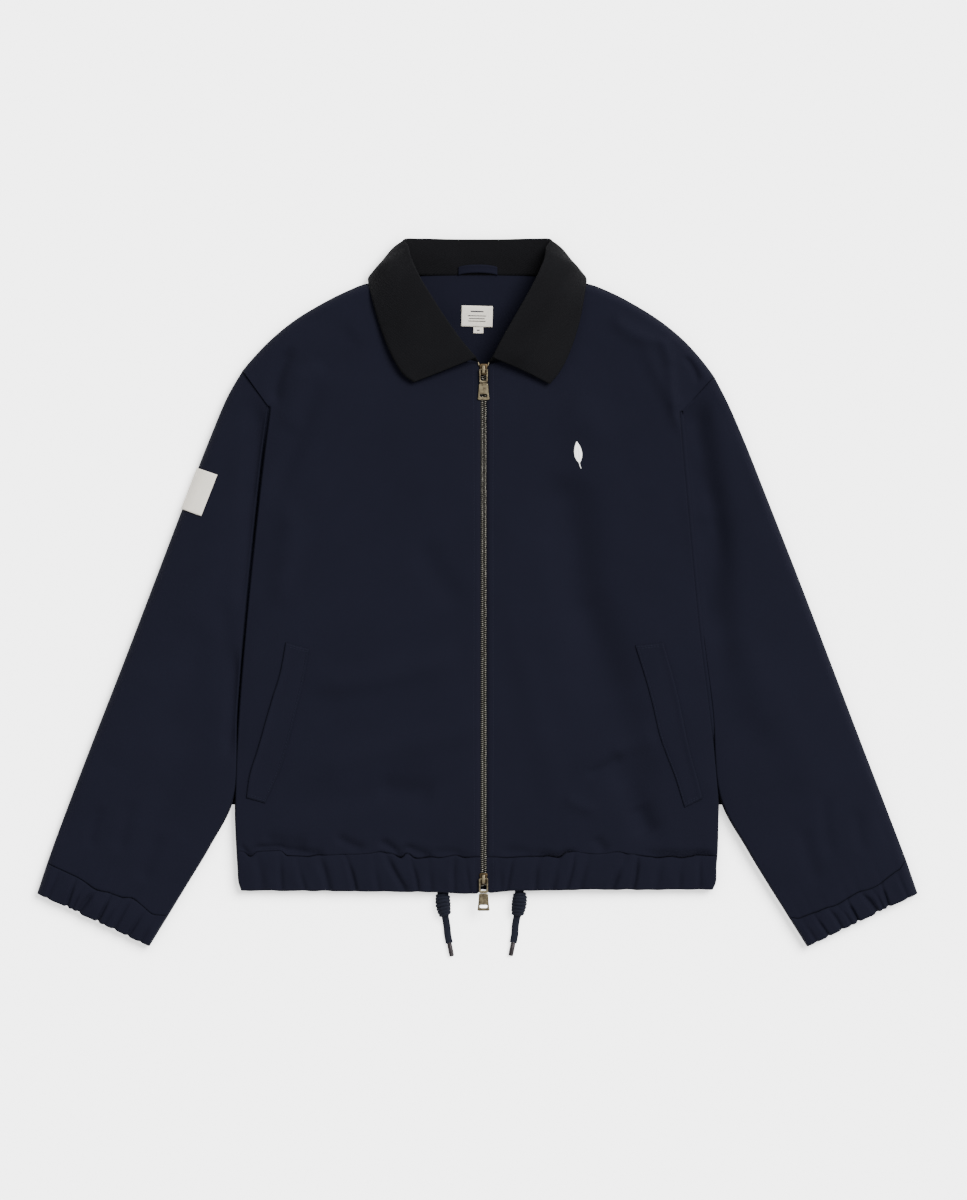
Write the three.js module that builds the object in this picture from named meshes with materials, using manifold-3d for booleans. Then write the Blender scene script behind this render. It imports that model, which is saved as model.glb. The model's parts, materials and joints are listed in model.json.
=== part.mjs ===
// A zip-front canvas jacket with a turned-down corduroy collar, laid out flat on its back.
// Millimetres. +X runs towards the wearer's left, +Y from hem to collar, +Z up from the surface it lies on.
// Tables are drawn from the zip's centre line (x = 0) and the hem's lower edge (y = 0).
// The whole is moved at the end, so that the origin lies under the middle of its outline.
import * as THREE from "three";

// Cloth and its lie
const cloth = { shell: 2.2, casing: 2.8, collar: 2.2, seamGap: 0.3, label: 0.8, welt: 1.2 };
// How a laid panel rounds off at its fold: the fold's own height, the round's radius, and the slow swell inwards
const fold = { level: 8, radius: 10, underRadius: 9, firm: 0.62, reach: 42 };
// The fold between body and sleeve is held higher where the armhole seam ends
const armhole = { lift: 6, reach: 60 };
// Height of the upper cloth over the surface, along the body
const loft = [
  { y: -65, z: 17 },
  { y: 0, z: 18 },
  { y: 45, z: 19.5 },
  { y: 150, z: 21.5 },
  { y: 400, z: 23 },
  { y: 560, z: 24 },
  { y: 760, z: 23 },
];
const bandHeight = 41; // hem casing, from its lower edge to its seam
const zip = { top: 604, bottom: 4, chainWidth: 5.8, chainHeight: 2.6, edge: 3.4, tapeWidth: 9, tape: 0.9 };
const neckPoint = { right: { x: -100, y: 701 }, left: { x: 86, y: 701 } };
const backNeckLine = 705; // where the collar is sewn to the back
const neckRaise = { rise: 4, from: 638, to: 676 }; // the back lies on the collar's turned-under half

// Outline of each half: right and left are the wearer's
const halves = {
  right: {
    sign: -1,
    side: [
      { x: -277, y: 0 },
      { x: -281, y: 41 },
      { x: -284.5, y: 103 },
      { x: -282, y: 184 },
      { x: -273, y: 306 },
      { x: -260.5, y: 432 },
      { x: -252.5, y: 501 },
      { x: -245.5, y: 554 },
    ],
    shoulder: [
      { x: -275.5, y: 597 },
      { x: -243, y: 632.5 },
      { x: -214.5, y: 655.5 },
      { x: -176.5, y: 678.5 },
      { x: -152.5, y: 690 },
      { x: -100, y: 701 },
    ],
    neckline: [
      { x: -3.4, y: 602 },
      { x: -26, y: 611 },
      { x: -54, y: 637 },
      { x: -76, y: 663 },
      { x: -91, y: 685 },
      { x: -100, y: 701 },
    ],
    sleeve: [
      { outerX: -275.5, outerY: 597, innerX: -246.5, innerY: 554 },
      { outerX: -293, outerY: 568, innerX: -249, innerY: 535 },
      { outerX: -314.5, outerY: 517.5, innerX: -254, innerY: 497 },
      { outerX: -342, outerY: 446, innerX: -263, innerY: 418 },
      { outerX: -377.5, outerY: 353, innerX: -273.5, innerY: 312 },
      { outerX: -413, outerY: 260, innerX: -282, innerY: 206 },
      { outerX: -447.5, outerY: 172, innerX: -285.5, innerY: 106 },
      { outerX: -472.5, outerY: 107, innerX: -317, innerY: 47 },
      { outerX: -486.5, outerY: 71, innerX: -341, innerY: 8 },
    ],
    cuff: [
      { outerX: -500, outerY: 35, innerX: -365, innerY: -31 },
      { outerX: -512, outerY: 1, innerX: -382.5, innerY: -60 },
    ],
  },
  left: {
    sign: 1,
    side: [
      { x: 266, y: 0 },
      { x: 268.5, y: 41 },
      { x: 269, y: 108 },
      { x: 265, y: 163 },
      { x: 249, y: 299 },
      { x: 237.5, y: 425 },
      { x: 231.5, y: 490 },
      { x: 226, y: 548.5 },
    ],
    shoulder: [
      { x: 263, y: 591 },
      { x: 228.5, y: 632.5 },
      { x: 199.5, y: 655.5 },
      { x: 161.5, y: 678.5 },
      { x: 138.5, y: 690 },
      { x: 86, y: 701 },
    ],
    neckline: [
      { x: 3.4, y: 602 },
      { x: 22, y: 611 },
      { x: 43, y: 637 },
      { x: 60, y: 663 },
      { x: 75, y: 685 },
      { x: 86, y: 701 },
    ],
    sleeve: [
      { outerX: 263, outerY: 591, innerX: 227, innerY: 548.5 },
      { outerX: 280, outerY: 561, innerX: 229, innerY: 529 },
      { outerX: 298.5, outerY: 517.5, innerX: 232.5, innerY: 491 },
      { outerX: 326, outerY: 446, innerX: 239.5, innerY: 412 },
      { outerX: 362, outerY: 353, innerX: 249, innerY: 309 },
      { outerX: 398, outerY: 260, innerX: 262, innerY: 207 },
      { outerX: 432, outerY: 172, innerX: 270, innerY: 106 },
      { outerX: 457, outerY: 107, innerX: 304, innerY: 46 },
      { outerX: 471, outerY: 71, innerX: 329, innerY: 5 },
    ],
    cuff: [
      { outerX: 485, outerY: 35, innerX: 354, innerY: -33 },
      { outerX: 498.5, outerY: 0, innerX: 376.5, innerY: -61 },
    ],
  },
};

// Largest soft folds of the laid cloth: middle, direction in degrees, half length, half width, rise
const softFolds = [
  { x: -95, y: 165, turn: 14, long: 110, wide: 16, rise: 3 },
  { x: -130, y: 110, turn: 8, long: 90, wide: 18, rise: -2.5 },
  { x: -215, y: 520, turn: 70, long: 70, wide: 14, rise: -3.5 },
  { x: -60, y: 330, turn: 35, long: 90, wide: 20, rise: 2 },
  { x: 110, y: 330, turn: 100, long: 150, wide: 26, rise: -4 },
  { x: 150, y: 165, turn: 28, long: 50, wide: 10, rise: 3 },
  { x: 175, y: 100, turn: 118, long: 55, wide: 16, rise: -3.5 },
  { x: 60, y: 200, turn: 105, long: 130, wide: 18, rise: 2 },
  { x: 215, y: 560, turn: 115, long: 75, wide: 8, rise: 2.5 },
  { x: 268, y: 480, turn: 112, long: 120, wide: 15, rise: -6 },
  { x: 290, y: 330, turn: 105, long: 110, wide: 16, rise: -4 },
  { x: -330, y: 330, turn: 68, long: 120, wide: 22, rise: 2 },
  { x: -345, y: 150, turn: 64, long: 100, wide: 22, rise: -2.5 },
  { x: 360, y: 160, turn: 112, long: 110, wide: 24, rise: 2.5 },
];
// Gathers of the hem casing: place at the seam, place at the lower edge, half width and depth
const hemGathers = [
  { seam: -262, edge: -254, wide: 6, deep: 2 },
  { seam: -236, edge: -230, wide: 6, deep: 2.2 },
  { seam: -214, edge: -205, wide: 5, deep: 1.8 },
  { seam: -187, edge: -179, wide: 5, deep: 3.4 },
  { seam: -160, edge: -146, wide: 5.5, deep: 3.6 },
  { seam: -128, edge: -119, wide: 5, deep: 1.8 },
  { seam: -112, edge: -90, wide: 5.5, deep: 3.6 },
  { seam: -84, edge: -76, wide: 5, deep: 2.6 },
  { seam: -66, edge: -59, wide: 4.5, deep: 2 },
  { seam: -34, edge: -33, wide: 5, deep: 2 },
  { seam: -20, edge: -17, wide: 4.5, deep: 1.6 },
  { seam: 16, edge: 20, wide: 4.5, deep: 1.6 },
  { seam: 32, edge: 28, wide: 4.5, deep: 2 },
  { seam: 64, edge: 59, wide: 5, deep: 2.4 },
  { seam: 88, edge: 77, wide: 5, deep: 2.8 },
  { seam: 104, edge: 95, wide: 5, deep: 2.2 },
  { seam: 120, edge: 112, wide: 5, deep: 2.2 },
  { seam: 166, edge: 146, wide: 5.5, deep: 3.6 },
  { seam: 178, edge: 170, wide: 5.5, deep: 3.4 },
  { seam: 202, edge: 198, wide: 6, deep: 1.8 },
  { seam: 228, edge: 226, wide: 6, deep: 1.6 },
  { seam: 250, edge: 247, wide: 5, deep: 1.6 },
];
// Gathers of a cuff: share of the width from the outer edge at the seam and at the end, half width, depth
const cuffGathers = [
  { seam: 0.12, edge: 0.1, wide: 0.03, deep: 1.6 },
  { seam: 0.24, edge: 0.27, wide: 0.03, deep: 3 },
  { seam: 0.4, edge: 0.36, wide: 0.03, deep: 3 },
  { seam: 0.53, edge: 0.54, wide: 0.035, deep: 3.2 },
  { seam: 0.68, edge: 0.66, wide: 0.03, deep: 1.8 },
  { seam: 0.8, edge: 0.8, wide: 0.035, deep: 2.2 },
  { seam: 0.91, edge: 0.92, wide: 0.03, deep: 1.4 },
];

// Collar sections, from the right front end round the back neck to the left front end:
// the sewn edge, the roll, a point over the fall, and the fall's free edge
const collarSections = [
  { neck: [-5.5, 607, 25], roll: [-9, 611, 33], over: [-44, 597, 32], edge: [-80, 583, 27.5] },
  { neck: [-22.5, 613, 25], roll: [-23, 627, 37.5], over: [-58, 608, 35.5], edge: [-92, 592, 28] },
  { neck: [-50, 638, 25.5], roll: [-40, 650, 40.5], over: [-74, 632, 37], edge: [-106, 615, 28.5] },
  { neck: [-72, 664, 25], roll: [-57, 676, 42], over: [-88, 663, 38], edge: [-119, 648, 27] },
  { neck: [-87, 687, 20], roll: [-74, 704, 41], over: [-103, 698, 36], edge: [-129, 684, 23] },
  { neck: [-92, 699.5, 14.5], roll: [-84, 726, 34], over: [-112, 718, 27], edge: [-135, 704.5, 9] },
  { neck: [-90, 704, 12], roll: [-85, 735, 29], over: [-116, 721, 18], edge: [-124, 700.5, 3] },
  { neck: [-87, 707, 9.5], roll: [-83, 742, 23], over: [-108, 727, 9.5], edge: [-104, 690, 1.2] },
  { neck: [-70, 707, 6.4], roll: [-66, 747, 15], over: [-76, 722, 2.6], edge: [-84, 684, 1.2] },
  { neck: [-40, 707, 5], roll: [-39, 748, 12], over: [-42, 721, 1.6], edge: [-48, 682, 1.2] },
  { neck: [-7, 707, 4.8], roll: [-7, 748, 11], over: [-7, 721, 1.5], edge: [-7, 682, 1.2] },
  { neck: [26, 707, 5], roll: [25, 748, 12], over: [28, 721, 1.6], edge: [34, 682, 1.2] },
  { neck: [56, 707, 6.4], roll: [52, 747, 15], over: [62, 722, 2.6], edge: [70, 684, 1.2] },
  { neck: [73, 707, 9.5], roll: [69, 742, 23], over: [94, 727, 9.5], edge: [90, 690, 1.2] },
  { neck: [76, 704, 12], roll: [72, 735, 29], over: [102, 721, 18], edge: [110, 700.5, 3] },
  { neck: [78, 699.5, 14.5], roll: [71, 726, 34], over: [98, 718, 27], edge: [120.5, 704, 9] },
  { neck: [71, 687, 20], roll: [62, 704, 41], over: [90, 697, 36], edge: [116, 684, 23] },
  { neck: [56, 664, 25], roll: [47, 676, 42], over: [78, 662, 38], edge: [110, 652, 27] },
  { neck: [39, 638, 25.5], roll: [32, 650, 40.5], over: [65, 632, 37], edge: [99, 618, 28.5] },
  { neck: [19, 613, 25], roll: [19, 627, 37.5], over: [52, 608, 35.5], edge: [88, 596, 28] },
  { neck: [6, 607, 25], roll: [11, 611, 33], over: [42, 598, 32], edge: [76, 581, 27.5] },
];

// Pocket welts: opening corners on the side of the hand, and the depth of the welt
const welts = {
  right: { top: [-227, 285], bottom: [-272, 105], bow: 6, width: 25, toZip: 1 },
  left: { top: [206, 285], bottom: [251, 105], bow: 6, width: 25, toZip: -1 },
};
const neckLabel = { x: -7.5, y: 660, width: 36, height: 24, turn: -1.5 };
const sizeTab = { x: -6, y: 644, width: 11.5, height: 7 };
const sleeveLabel = { from: 2.455, to: 3.086, width: 24 }; // places among the sleeve's rows; width from its fold
const hangerLoop = { left: -29, right: 16, y: 714.5, z: 7.25, width: 9.5, rise: 3, thick: 1.4 };

// Zip sliders and their pulls
const slider = { width: 9.4, length: 13, plate: 1.4, lift: 0.5, bridgeWidth: 2.4, bridgeWall: 0.7, bridgeRise: 2.3 };
const pull = { thick: 1.2, bar: 0.7, length: 34.5, shoulder: 4, waist: 3.9, foot: 6.2, waistAt: 17.5, window: 2.1 };
const sliders = {
  top: { y: 598, pullTilt: 2.4 },
  bottom: { y: 13.5, pullTilt: 4 },
};

// Drawcords: each leaves the underside of the front's hem casing, lies on the back's casing and runs out to its
// metal end. The first two heights are measured down from that underside
const cord = { diameter: 5, sides: 8 };
const cordRoutes = {
  right: [
    [-47.6, 13.4, -0.95],
    [-47.6, 12.9, -4],
    [-47.5, 10.4, 8.7],
    [-47.4, 7, 6.4],
    [-47.3, 2.4, 5.6],
    [-47, -6, 6.3],
    [-46.4, -18, 7.2],
    [-44.2, -30, 5.8],
    [-42.2, -42, 3.2],
    [-41.2, -52, 2.6],
    [-39.4, -61.5, 2.6],
  ],
  left: [
    [42.6, 13.4, -0.95],
    [42.6, 12.9, -4],
    [42.5, 10.4, 8.7],
    [42.4, 7, 6.4],
    [42.3, 2.4, 5.6],
    [42, -6, 6.3],
    [40.8, -18, 7.2],
    [38.6, -30, 5.8],
    [36.6, -42, 3.2],
    [35.9, -52, 2.6],
    [34.2, -61, 2.6],
  ],
};
const knot = { from: 0.27, to: 0.62, waist: 4.4, belly: 6.8, bore: 2.9, turns: 5, ridge: 0.4 };
const aglet = { length: 16, radius: 2.4 };

// Colours and finishes
const finish = {
  canvas: { color: 0x1e2030, roughness: 0.92, metalness: 0 },
  corduroy: { color: 0x19191b, roughness: 0.98, metalness: 0 },
  brass: { color: 0x8a7a58, roughness: 0.38, metalness: 0.9 },
  tape: { color: 0x15161d, roughness: 0.9, metalness: 0 },
  label: { color: 0xc8c4b8, roughness: 0.85, metalness: 0 },
  cord: { color: 0x1b1d2b, roughness: 0.9, metalness: 0 },
  steel: { color: 0x6a6468, roughness: 0.35, metalness: 0.85 },
};

// Smooth curve through the x and y of a table's rows, as close points
function smoothLine(rows, count = 90) {
  const points = rows.map((row) => new THREE.Vector3(row.x, row.y, 0));
  return new THREE.CatmullRomCurve3(points, false, "centripetal").getPoints(count);
}

// The point at share t of a line's length
function alongLine(line, t) {
  const steps = line.slice(1).map((p, i) => p.distanceTo(line[i]));
  let left = Math.min(Math.max(t, 0), 1) * steps.reduce((a, b) => a + b, 0);
  let i = 0;
  while (i < steps.length - 1 && left > steps[i]) {
    left -= steps[i];
    i += 1;
  }
  return line[i].clone().lerp(line[i + 1], Math.min(left / steps[i], 1));
}

// Shortest way from (x, y) to a line
function distanceTo(line, x, y) {
  let least = Infinity;
  for (let i = 1; i < line.length; i += 1) {
    const a = line[i - 1];
    const dx = line[i].x - a.x;
    const dy = line[i].y - a.y;
    const share = Math.min(Math.max(((x - a.x) * dx + (y - a.y) * dy) / (dx * dx + dy * dy || 1), 0), 1);
    least = Math.min(least, Math.hypot(x - a.x - share * dx, y - a.y - share * dy));
  }
  return least;
}

// Value of a table of y and z at y, eased between its rows
function tableHeight(rows, y) {
  const last = rows.length - 1;
  if (y <= rows[0].y) return rows[0].z;
  if (y >= rows[last].y) return rows[last].z;
  const i = rows.findIndex((row) => row.y > y);
  const low = rows[i - 1];
  return low.z + (rows[i].z - low.z) * THREE.MathUtils.smoothstep(y, low.y, rows[i].y);
}

const quarterRound = (d, radius) => Math.sqrt(Math.max(0, 1 - (1 - Math.min(d / radius, 1)) ** 2));
const swell = (d) => fold.firm * quarterRound(d, fold.radius) + (1 - fold.firm) * (1 - Math.exp(-d / fold.reach));

// Lines that the heights are worked out from
for (const half of Object.values(halves)) {
  half.sideLine = smoothLine(half.side);
  half.shoulderLine = smoothLine(half.shoulder);
  half.necklineLine = smoothLine(half.neckline);
  const rows = [...half.sleeve, ...half.cuff];
  half.outerLine = smoothLine(rows.map((r) => ({ x: r.outerX, y: r.outerY })));
  half.innerLine = smoothLine(rows.map((r) => ({ x: r.innerX, y: r.innerY })));
  half.silhouette = [...half.shoulderLine.slice().reverse(), ...half.outerLine.slice(1)];
  half.armholeLine = [half.sideLine[half.sideLine.length - 1], half.shoulderLine[0]];
}

const foldLevel = (x, y) =>
  Object.values(halves).reduce((level, half) => {
    const end = half.armholeLine[0];
    return level + armhole.lift * Math.exp(-Math.hypot(x - end.x, y - end.y) / armhole.reach);
  }, fold.level);

function softRise(x, y) {
  return softFolds.reduce((sum, f) => {
    const turn = THREE.MathUtils.degToRad(f.turn);
    const along = (x - f.x) * Math.cos(turn) + (y - f.y) * Math.sin(turn);
    const across = -(x - f.x) * Math.sin(turn) + (y - f.y) * Math.cos(turn);
    return sum + f.rise * Math.exp(-((across / f.wide) ** 2) - (along / f.long) ** 4);
  }, 0);
}

// Height of the upper cloth at (x, y), inside the given fold lines
function upper(x, y, folds) {
  const level = foldLevel(x, y);
  const share = folds.reduce((product, line) => product * swell(distanceTo(line, x, y)), 1);
  return level + (tableHeight(loft, y) - level + softRise(x, y)) * share;
}

// Height of the cloth underneath: flat on the surface, rising to the fold
function under(x, y, folds) {
  const share = folds.reduce((product, line) => product * quarterRound(distanceTo(line, x, y), fold.underRadius), 1);
  const raise = neckRaise.rise * THREE.MathUtils.smoothstep(y, neckRaise.from, neckRaise.to);
  return foldLevel(x, y) * (1 - share) + raise * share;
}

const bodyFolds = Object.values(halves).flatMap((half) => [half.sideLine, half.silhouette]);
const bodyUpper = (x, y) => upper(x, y, bodyFolds);
const bodyUnder = (x, y) => under(x, y, bodyFolds);
const underPoint = (x, y) => {
  const z = bodyUnder(x, y);
  return new THREE.Vector3(x, y, z > 0.2 ? z - cloth.seamGap / 2 : z);
};
const sleeveFolds = (half) => [half.outerLine, half.shoulderLine, half.innerLine];

// Patch between four edges, each a function of a share from 0 to 1
const patch = (bottom, top, start, end) => (u, v) => {
  const mix = (a, b, t) => a + (b - a) * t;
  const at = (key) =>
    mix(bottom(u)[key], top(u)[key], v) +
    mix(start(v)[key], end(v)[key], u) -
    mix(mix(bottom(0)[key], bottom(1)[key], u), mix(top(0)[key], top(1)[key], u), v);
  return { x: at("x"), y: at("y") };
};

// Closed body from an outer and an inner grid of points; wraps joins each row's end to its start
function bodyBetween(outer, inner, wraps) {
  const rows = outer.length;
  const cols = outer[0].length;
  const points = [...outer.flat(), ...inner.flat()];
  const at = (skin, j, i) => skin * rows * cols + j * cols + (i % cols);
  const faces = [];
  const quad = (a, b, c, d) => faces.push(a, b, c, a, c, d);
  const last = wraps ? cols : cols - 1;
  for (let j = 0; j < rows - 1; j += 1) {
    for (let i = 0; i < last; i += 1) {
      quad(at(0, j, i), at(0, j, i + 1), at(0, j + 1, i + 1), at(0, j + 1, i));
      quad(at(1, j, i), at(1, j + 1, i), at(1, j + 1, i + 1), at(1, j, i + 1));
    }
  }
  for (let i = 0; i < last; i += 1) {
    quad(at(0, 0, i), at(1, 0, i), at(1, 0, i + 1), at(0, 0, i + 1));
    quad(at(0, rows - 1, i), at(0, rows - 1, i + 1), at(1, rows - 1, i + 1), at(1, rows - 1, i));
  }
  for (let j = 0; !wraps && j < rows - 1; j += 1) {
    quad(at(0, j, 0), at(0, j + 1, 0), at(1, j + 1, 0), at(1, j, 0));
    quad(at(0, j, cols - 1), at(1, j, cols - 1), at(1, j + 1, cols - 1), at(0, j + 1, cols - 1));
  }
  let volume = 0;
  for (let k = 0; k < faces.length; k += 3) {
    const [a, b, c] = [points[faces[k]], points[faces[k + 1]], points[faces[k + 2]]];
    volume += a.dot(b.clone().cross(c));
  }
  if (volume < 0) faces.reverse();
  const geometry = new THREE.BufferGeometry();
  geometry.setAttribute("position", new THREE.Float32BufferAttribute(points.flatMap((p) => [p.x, p.y, p.z]), 3));
  geometry.setIndex(faces);
  return geometry;
}

// Unit normals of a grid of points, all on one side of it
function gridNormals(grid, wraps) {
  const cols = grid[0].length;
  const near = (i) => (wraps ? (i + cols) % cols : Math.min(Math.max(i, 0), cols - 1));
  return grid.map((row, j) =>
    row.map((point, i) => {
      const across = row[near(i + 1)].clone().sub(row[near(i - 1)]);
      const along = grid[Math.min(j + 1, grid.length - 1)][i].clone().sub(grid[Math.max(j - 1, 0)][i]);
      return across.cross(along).normalize();
    }),
  );
}

// Each point of a grid moved by a distance along the grid's normals
const movedOut = (grid, normals, distance) =>
  grid.map((row, j) => row.map((p, i) => p.clone().addScaledVector(normals[j][i], distance)));

// A wall whose outer face is the grid; facing is 1 or -1, the side of the grid's normals that is outside.
// fit, where given, corrects each inner point, so that seams stay where they are cut
function wall(grid, thickness, facing, { wraps = false, fit = null } = {}) {
  const inner = movedOut(grid, gridNormals(grid, wraps), -facing * thickness);
  if (fit) inner.forEach((row, j) => row.forEach((p, i) => fit(p, grid[j][i], j, i)));
  return bodyBetween(grid, inner, wraps);
}

// Inner points keep to their own side of the fold between front and back
const keepAbove = (p) => {
  p.z = Math.max(p.z, foldLevel(p.x, p.y) + cloth.seamGap / 2);
};
const keepBelow = (p) => {
  p.z = Math.min(p.z, foldLevel(p.x, p.y) - cloth.seamGap / 2);
};

const group = new THREE.Group();
const materials = Object.fromEntries(
  Object.entries(finish).map(([name, values]) => [name, new THREE.MeshStandardMaterial(values)]),
);
function add(name, geometry, material) {
  const mesh = new THREE.Mesh(geometry, materials[material]);
  mesh.name = name;
  group.add(mesh);
  return mesh;
}

// Shares from 0 to 1 that crowd towards the end, where the cloth rounds off
const crowdEnd = (count, power = 2.2) =>
  Array.from({ length: count + 1 }, (_, i) => 1 - (1 - i / count) ** power);
const crowdBoth = (count, power = 2) =>
  Array.from({ length: count + 1 }, (_, i) => {
    const t = i / count;
    return t < 0.5 ? 0.5 * (2 * t) ** power : 1 - 0.5 * (2 - 2 * t) ** power;
  });
const even = (count) => Array.from({ length: count + 1 }, (_, i) => i / count);

// A line cut at height y: the part above it
const lineAbove = (line, y) => [alongLineAtY(line, y), ...line.filter((p) => p.y > y + 0.01)];
function alongLineAtY(line, y) {
  const i = Math.max(1, line.findIndex((p) => p.y >= y));
  const share = (y - line[i - 1].y) / (line[i].y - line[i - 1].y || 1);
  return line[i - 1].clone().lerp(line[i], share);
}

const seamY = bandHeight + cloth.seamGap;

// Shares up a panel where its corners fall: the neckline's start and the side seam's end
const cornerShare = { neck: 0.8, side: 0.9 };
const panelShares = [
  ...even(10).map((t) => t * cornerShare.neck),
  (cornerShare.neck + cornerShare.side) / 2,
  ...crowdEnd(5, 1.9).map((t) => cornerShare.side + t * (1 - cornerShare.side)),
];
const upTwo = (first, second, corner) => (v) =>
  v <= corner ? alongLine(first, v / corner) : alongLine(second, (v - corner) / (1 - corner));
const sideEdge = (half) => upTwo(lineAbove(half.sideLine, seamY), half.armholeLine, cornerShare.side);

// Plan of a front: from the zip's edge to the side and armhole, and from the hem seam to the shoulder
function frontPlan(half) {
  const zipFoot = new THREE.Vector3(half.sign * zip.edge, seamY, 0);
  const end = sideEdge(half);
  const top = half.shoulderLine.slice().reverse();
  return patch(
    (u) => zipFoot.clone().lerp(end(0), u),
    (u) => alongLine(top, u),
    upTwo([zipFoot, half.necklineLine[0]], half.necklineLine, cornerShare.neck),
    end,
  );
}

function addFront(name, half) {
  const plan = frontPlan(half);
  const grid = panelShares.map((v) =>
    crowdEnd(12).map((u) => {
      const p = plan(u, v);
      return new THREE.Vector3(p.x, p.y, bodyUpper(p.x, p.y) + cloth.seamGap / 2);
    }),
  );
  const fit = (p, outer, j, i) => {
    if (j === 0) p.y = outer.y;
    if (i === 0) p.x = outer.x;
    keepAbove(p);
  };
  add(name, wall(grid, cloth.shell, half.sign, { fit }), "canvas");
}

// The back, from side to side, with the armholes, shoulders and straight back neck
function addBack() {
  const { right, left } = halves;
  const [start, end] = [sideEdge(right), sideEdge(left)];
  const backNeck = [
    new THREE.Vector3(neckPoint.right.x + 6, backNeckLine, 0),
    new THREE.Vector3(neckPoint.left.x - 6, backNeckLine, 0),
  ];
  const top = [...right.shoulderLine, ...backNeck, ...left.shoulderLine.slice().reverse()];
  const plan = patch(
    (u) => start(0).clone().lerp(end(0), u),
    (u) => alongLine(top, u),
    start,
    end,
  );
  const grid = panelShares.map((v) =>
    crowdBoth(20, 1.8).map((u) => {
      const p = plan(u, v);
      return underPoint(p.x, p.y);
    }),
  );
  const fit = (p, outer, j) => {
    if (j === 0) p.y = outer.y;
    keepBelow(p);
  };
  add("back", wall(grid, cloth.shell, -1, { fit }), "canvas");
}

// Shares across a sleeve's ring: over the top from the outer fold to the inner, then back underneath
function ringPoints(row, half, topShares, underShares, raise = () => 0) {
  const folds = sleeveFolds(half);
  const plan = (s) => [row.outerX + (row.innerX - row.outerX) * s, row.outerY + (row.innerY - row.outerY) * s];
  const over = topShares.map((s) => {
    const [x, y] = plan(s);
    return new THREE.Vector3(x, y, upper(x, y, folds) + raise(s));
  });
  const below = underShares.map((s) => {
    const [x, y] = plan(s);
    return new THREE.Vector3(x, y, under(x, y, folds));
  });
  return [...over, ...below];
}

// A row of the sleeve's table at share t between two rows
const rowBetween = (a, b, t) =>
  Object.fromEntries(Object.keys(a).map((key) => [key, a[key] + (b[key] - a[key]) * t]));

// A row moved along the sleeve by a distance, away from the armhole
function rowMoved(row, next, distance) {
  const length = Math.hypot(next.outerX - row.outerX, next.outerY - row.outerY);
  return rowBetween(row, next, distance / length);
}

// A sleeve's tube is four walls: over the arm, under it, and one turned round each of its two folds
function addSleeve(name, half) {
  const rows = half.sleeve;
  const all = [];
  rows.slice(0, -1).forEach((row, i) => {
    const start = i === 0 ? rowMoved(row, rows[1], 3 * cloth.seamGap) : row;
    all.push(start);
    if (i > 1) all.push(rowBetween(start, rows[i + 1], 0.5));
  });
  all.push(rows[rows.length - 1]);
  all.push(rowMoved(half.cuff[0], rows[rows.length - 1], cloth.seamGap));
  const over = crowdBoth(10, 2.2);
  const below = crowdBoth(7, 1.9).slice(1, -1).reverse();
  const outer = all.map((row) => ringPoints(row, half, over, below));
  const inner = movedOut(outer, gridNormals(outer, true), -half.sign * cloth.shell);
  const turned = 2; // columns of the upper side that belong to each fold
  const walls = {
    outer_fold: [over.length + below.length - 1, over.length + below.length + turned],
    upper: [turned, over.length - 1 - turned],
    inner_fold: [over.length - 1 - turned, over.length],
    under: [over.length, over.length + below.length - 1],
  };
  const kept = (point, i) => {
    const copy = point.clone();
    if (i >= turned && i < over.length - turned) keepAbove(copy);
    if (i >= over.length) keepBelow(copy);
    return copy;
  };
  const panel = (skin, first, last) =>
    skin.map((row) =>
      even(last - first).map((t, i) => {
        const column = (first + i) % row.length;
        return kept(row[column], column);
      }),
    );
  for (const [wallName, [first, last]] of Object.entries(walls)) {
    add(`${name}_${wallName}`, bodyBetween(panel(outer, first, last), panel(inner, first, last), false), "canvas");
  }
}

// Depth of gathers at a share across, at a share down the band
const gatherDepth = (gathers, across, down) =>
  gathers.reduce((sum, g) => {
    const middle = g.seam + (g.edge - g.seam) * down;
    return sum - g.deep * Math.exp(-(((across - middle) / g.wide) ** 2));
  }, 0);

function addCuff(name, half) {
  const [seam, end] = half.cuff;
  const over = even(26).map((s, i, all) => (i === 0 || i === all.length - 1 ? s : 0.012 + 0.976 * s));
  const below = crowdBoth(9, 1.7).slice(1, -1).reverse();
  const grid = even(4).map((t) => {
    const row = rowBetween(seam, end, t);
    const puff = 1.6 * Math.sin(Math.PI * t) + 0.9;
    return ringPoints(row, half, over, below, (s) => {
      const inner = quarterRound(Math.min(s, 1 - s), 0.06);
      return inner * (puff + 0.9 * gatherDepth(cuffGathers, s, t));
    });
  });
  const fit = (p, outer, j) => {
    if (j > 0) return;
    const along = new THREE.Vector3(end.outerX - seam.outerX, end.outerY - seam.outerY, 0).normalize();
    p.addScaledVector(along, outer.clone().sub(p).dot(along));
  };
  add(name, wall(grid, cloth.shell, half.sign, { wraps: true, fit }), "canvas");
}

// Height of a front's hem casing: gathered, and a little puffed between its seam and its lower edge
function casingUpper(half, x, y) {
  const t = 1 - y / bandHeight;
  const side = alongLineAtY(half.sideLine, y).x;
  const near = quarterRound(Math.abs(side - x), 12) * THREE.MathUtils.smoothstep(Math.abs(x), 5, 16);
  const puff = 1.4 * Math.sin(Math.PI * t) * near;
  const gather = 0.9 * near * gatherDepth(hemGathers, x, t);
  return bodyUpper(x, y) + cloth.seamGap / 2 + puff + gather;
}

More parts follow.
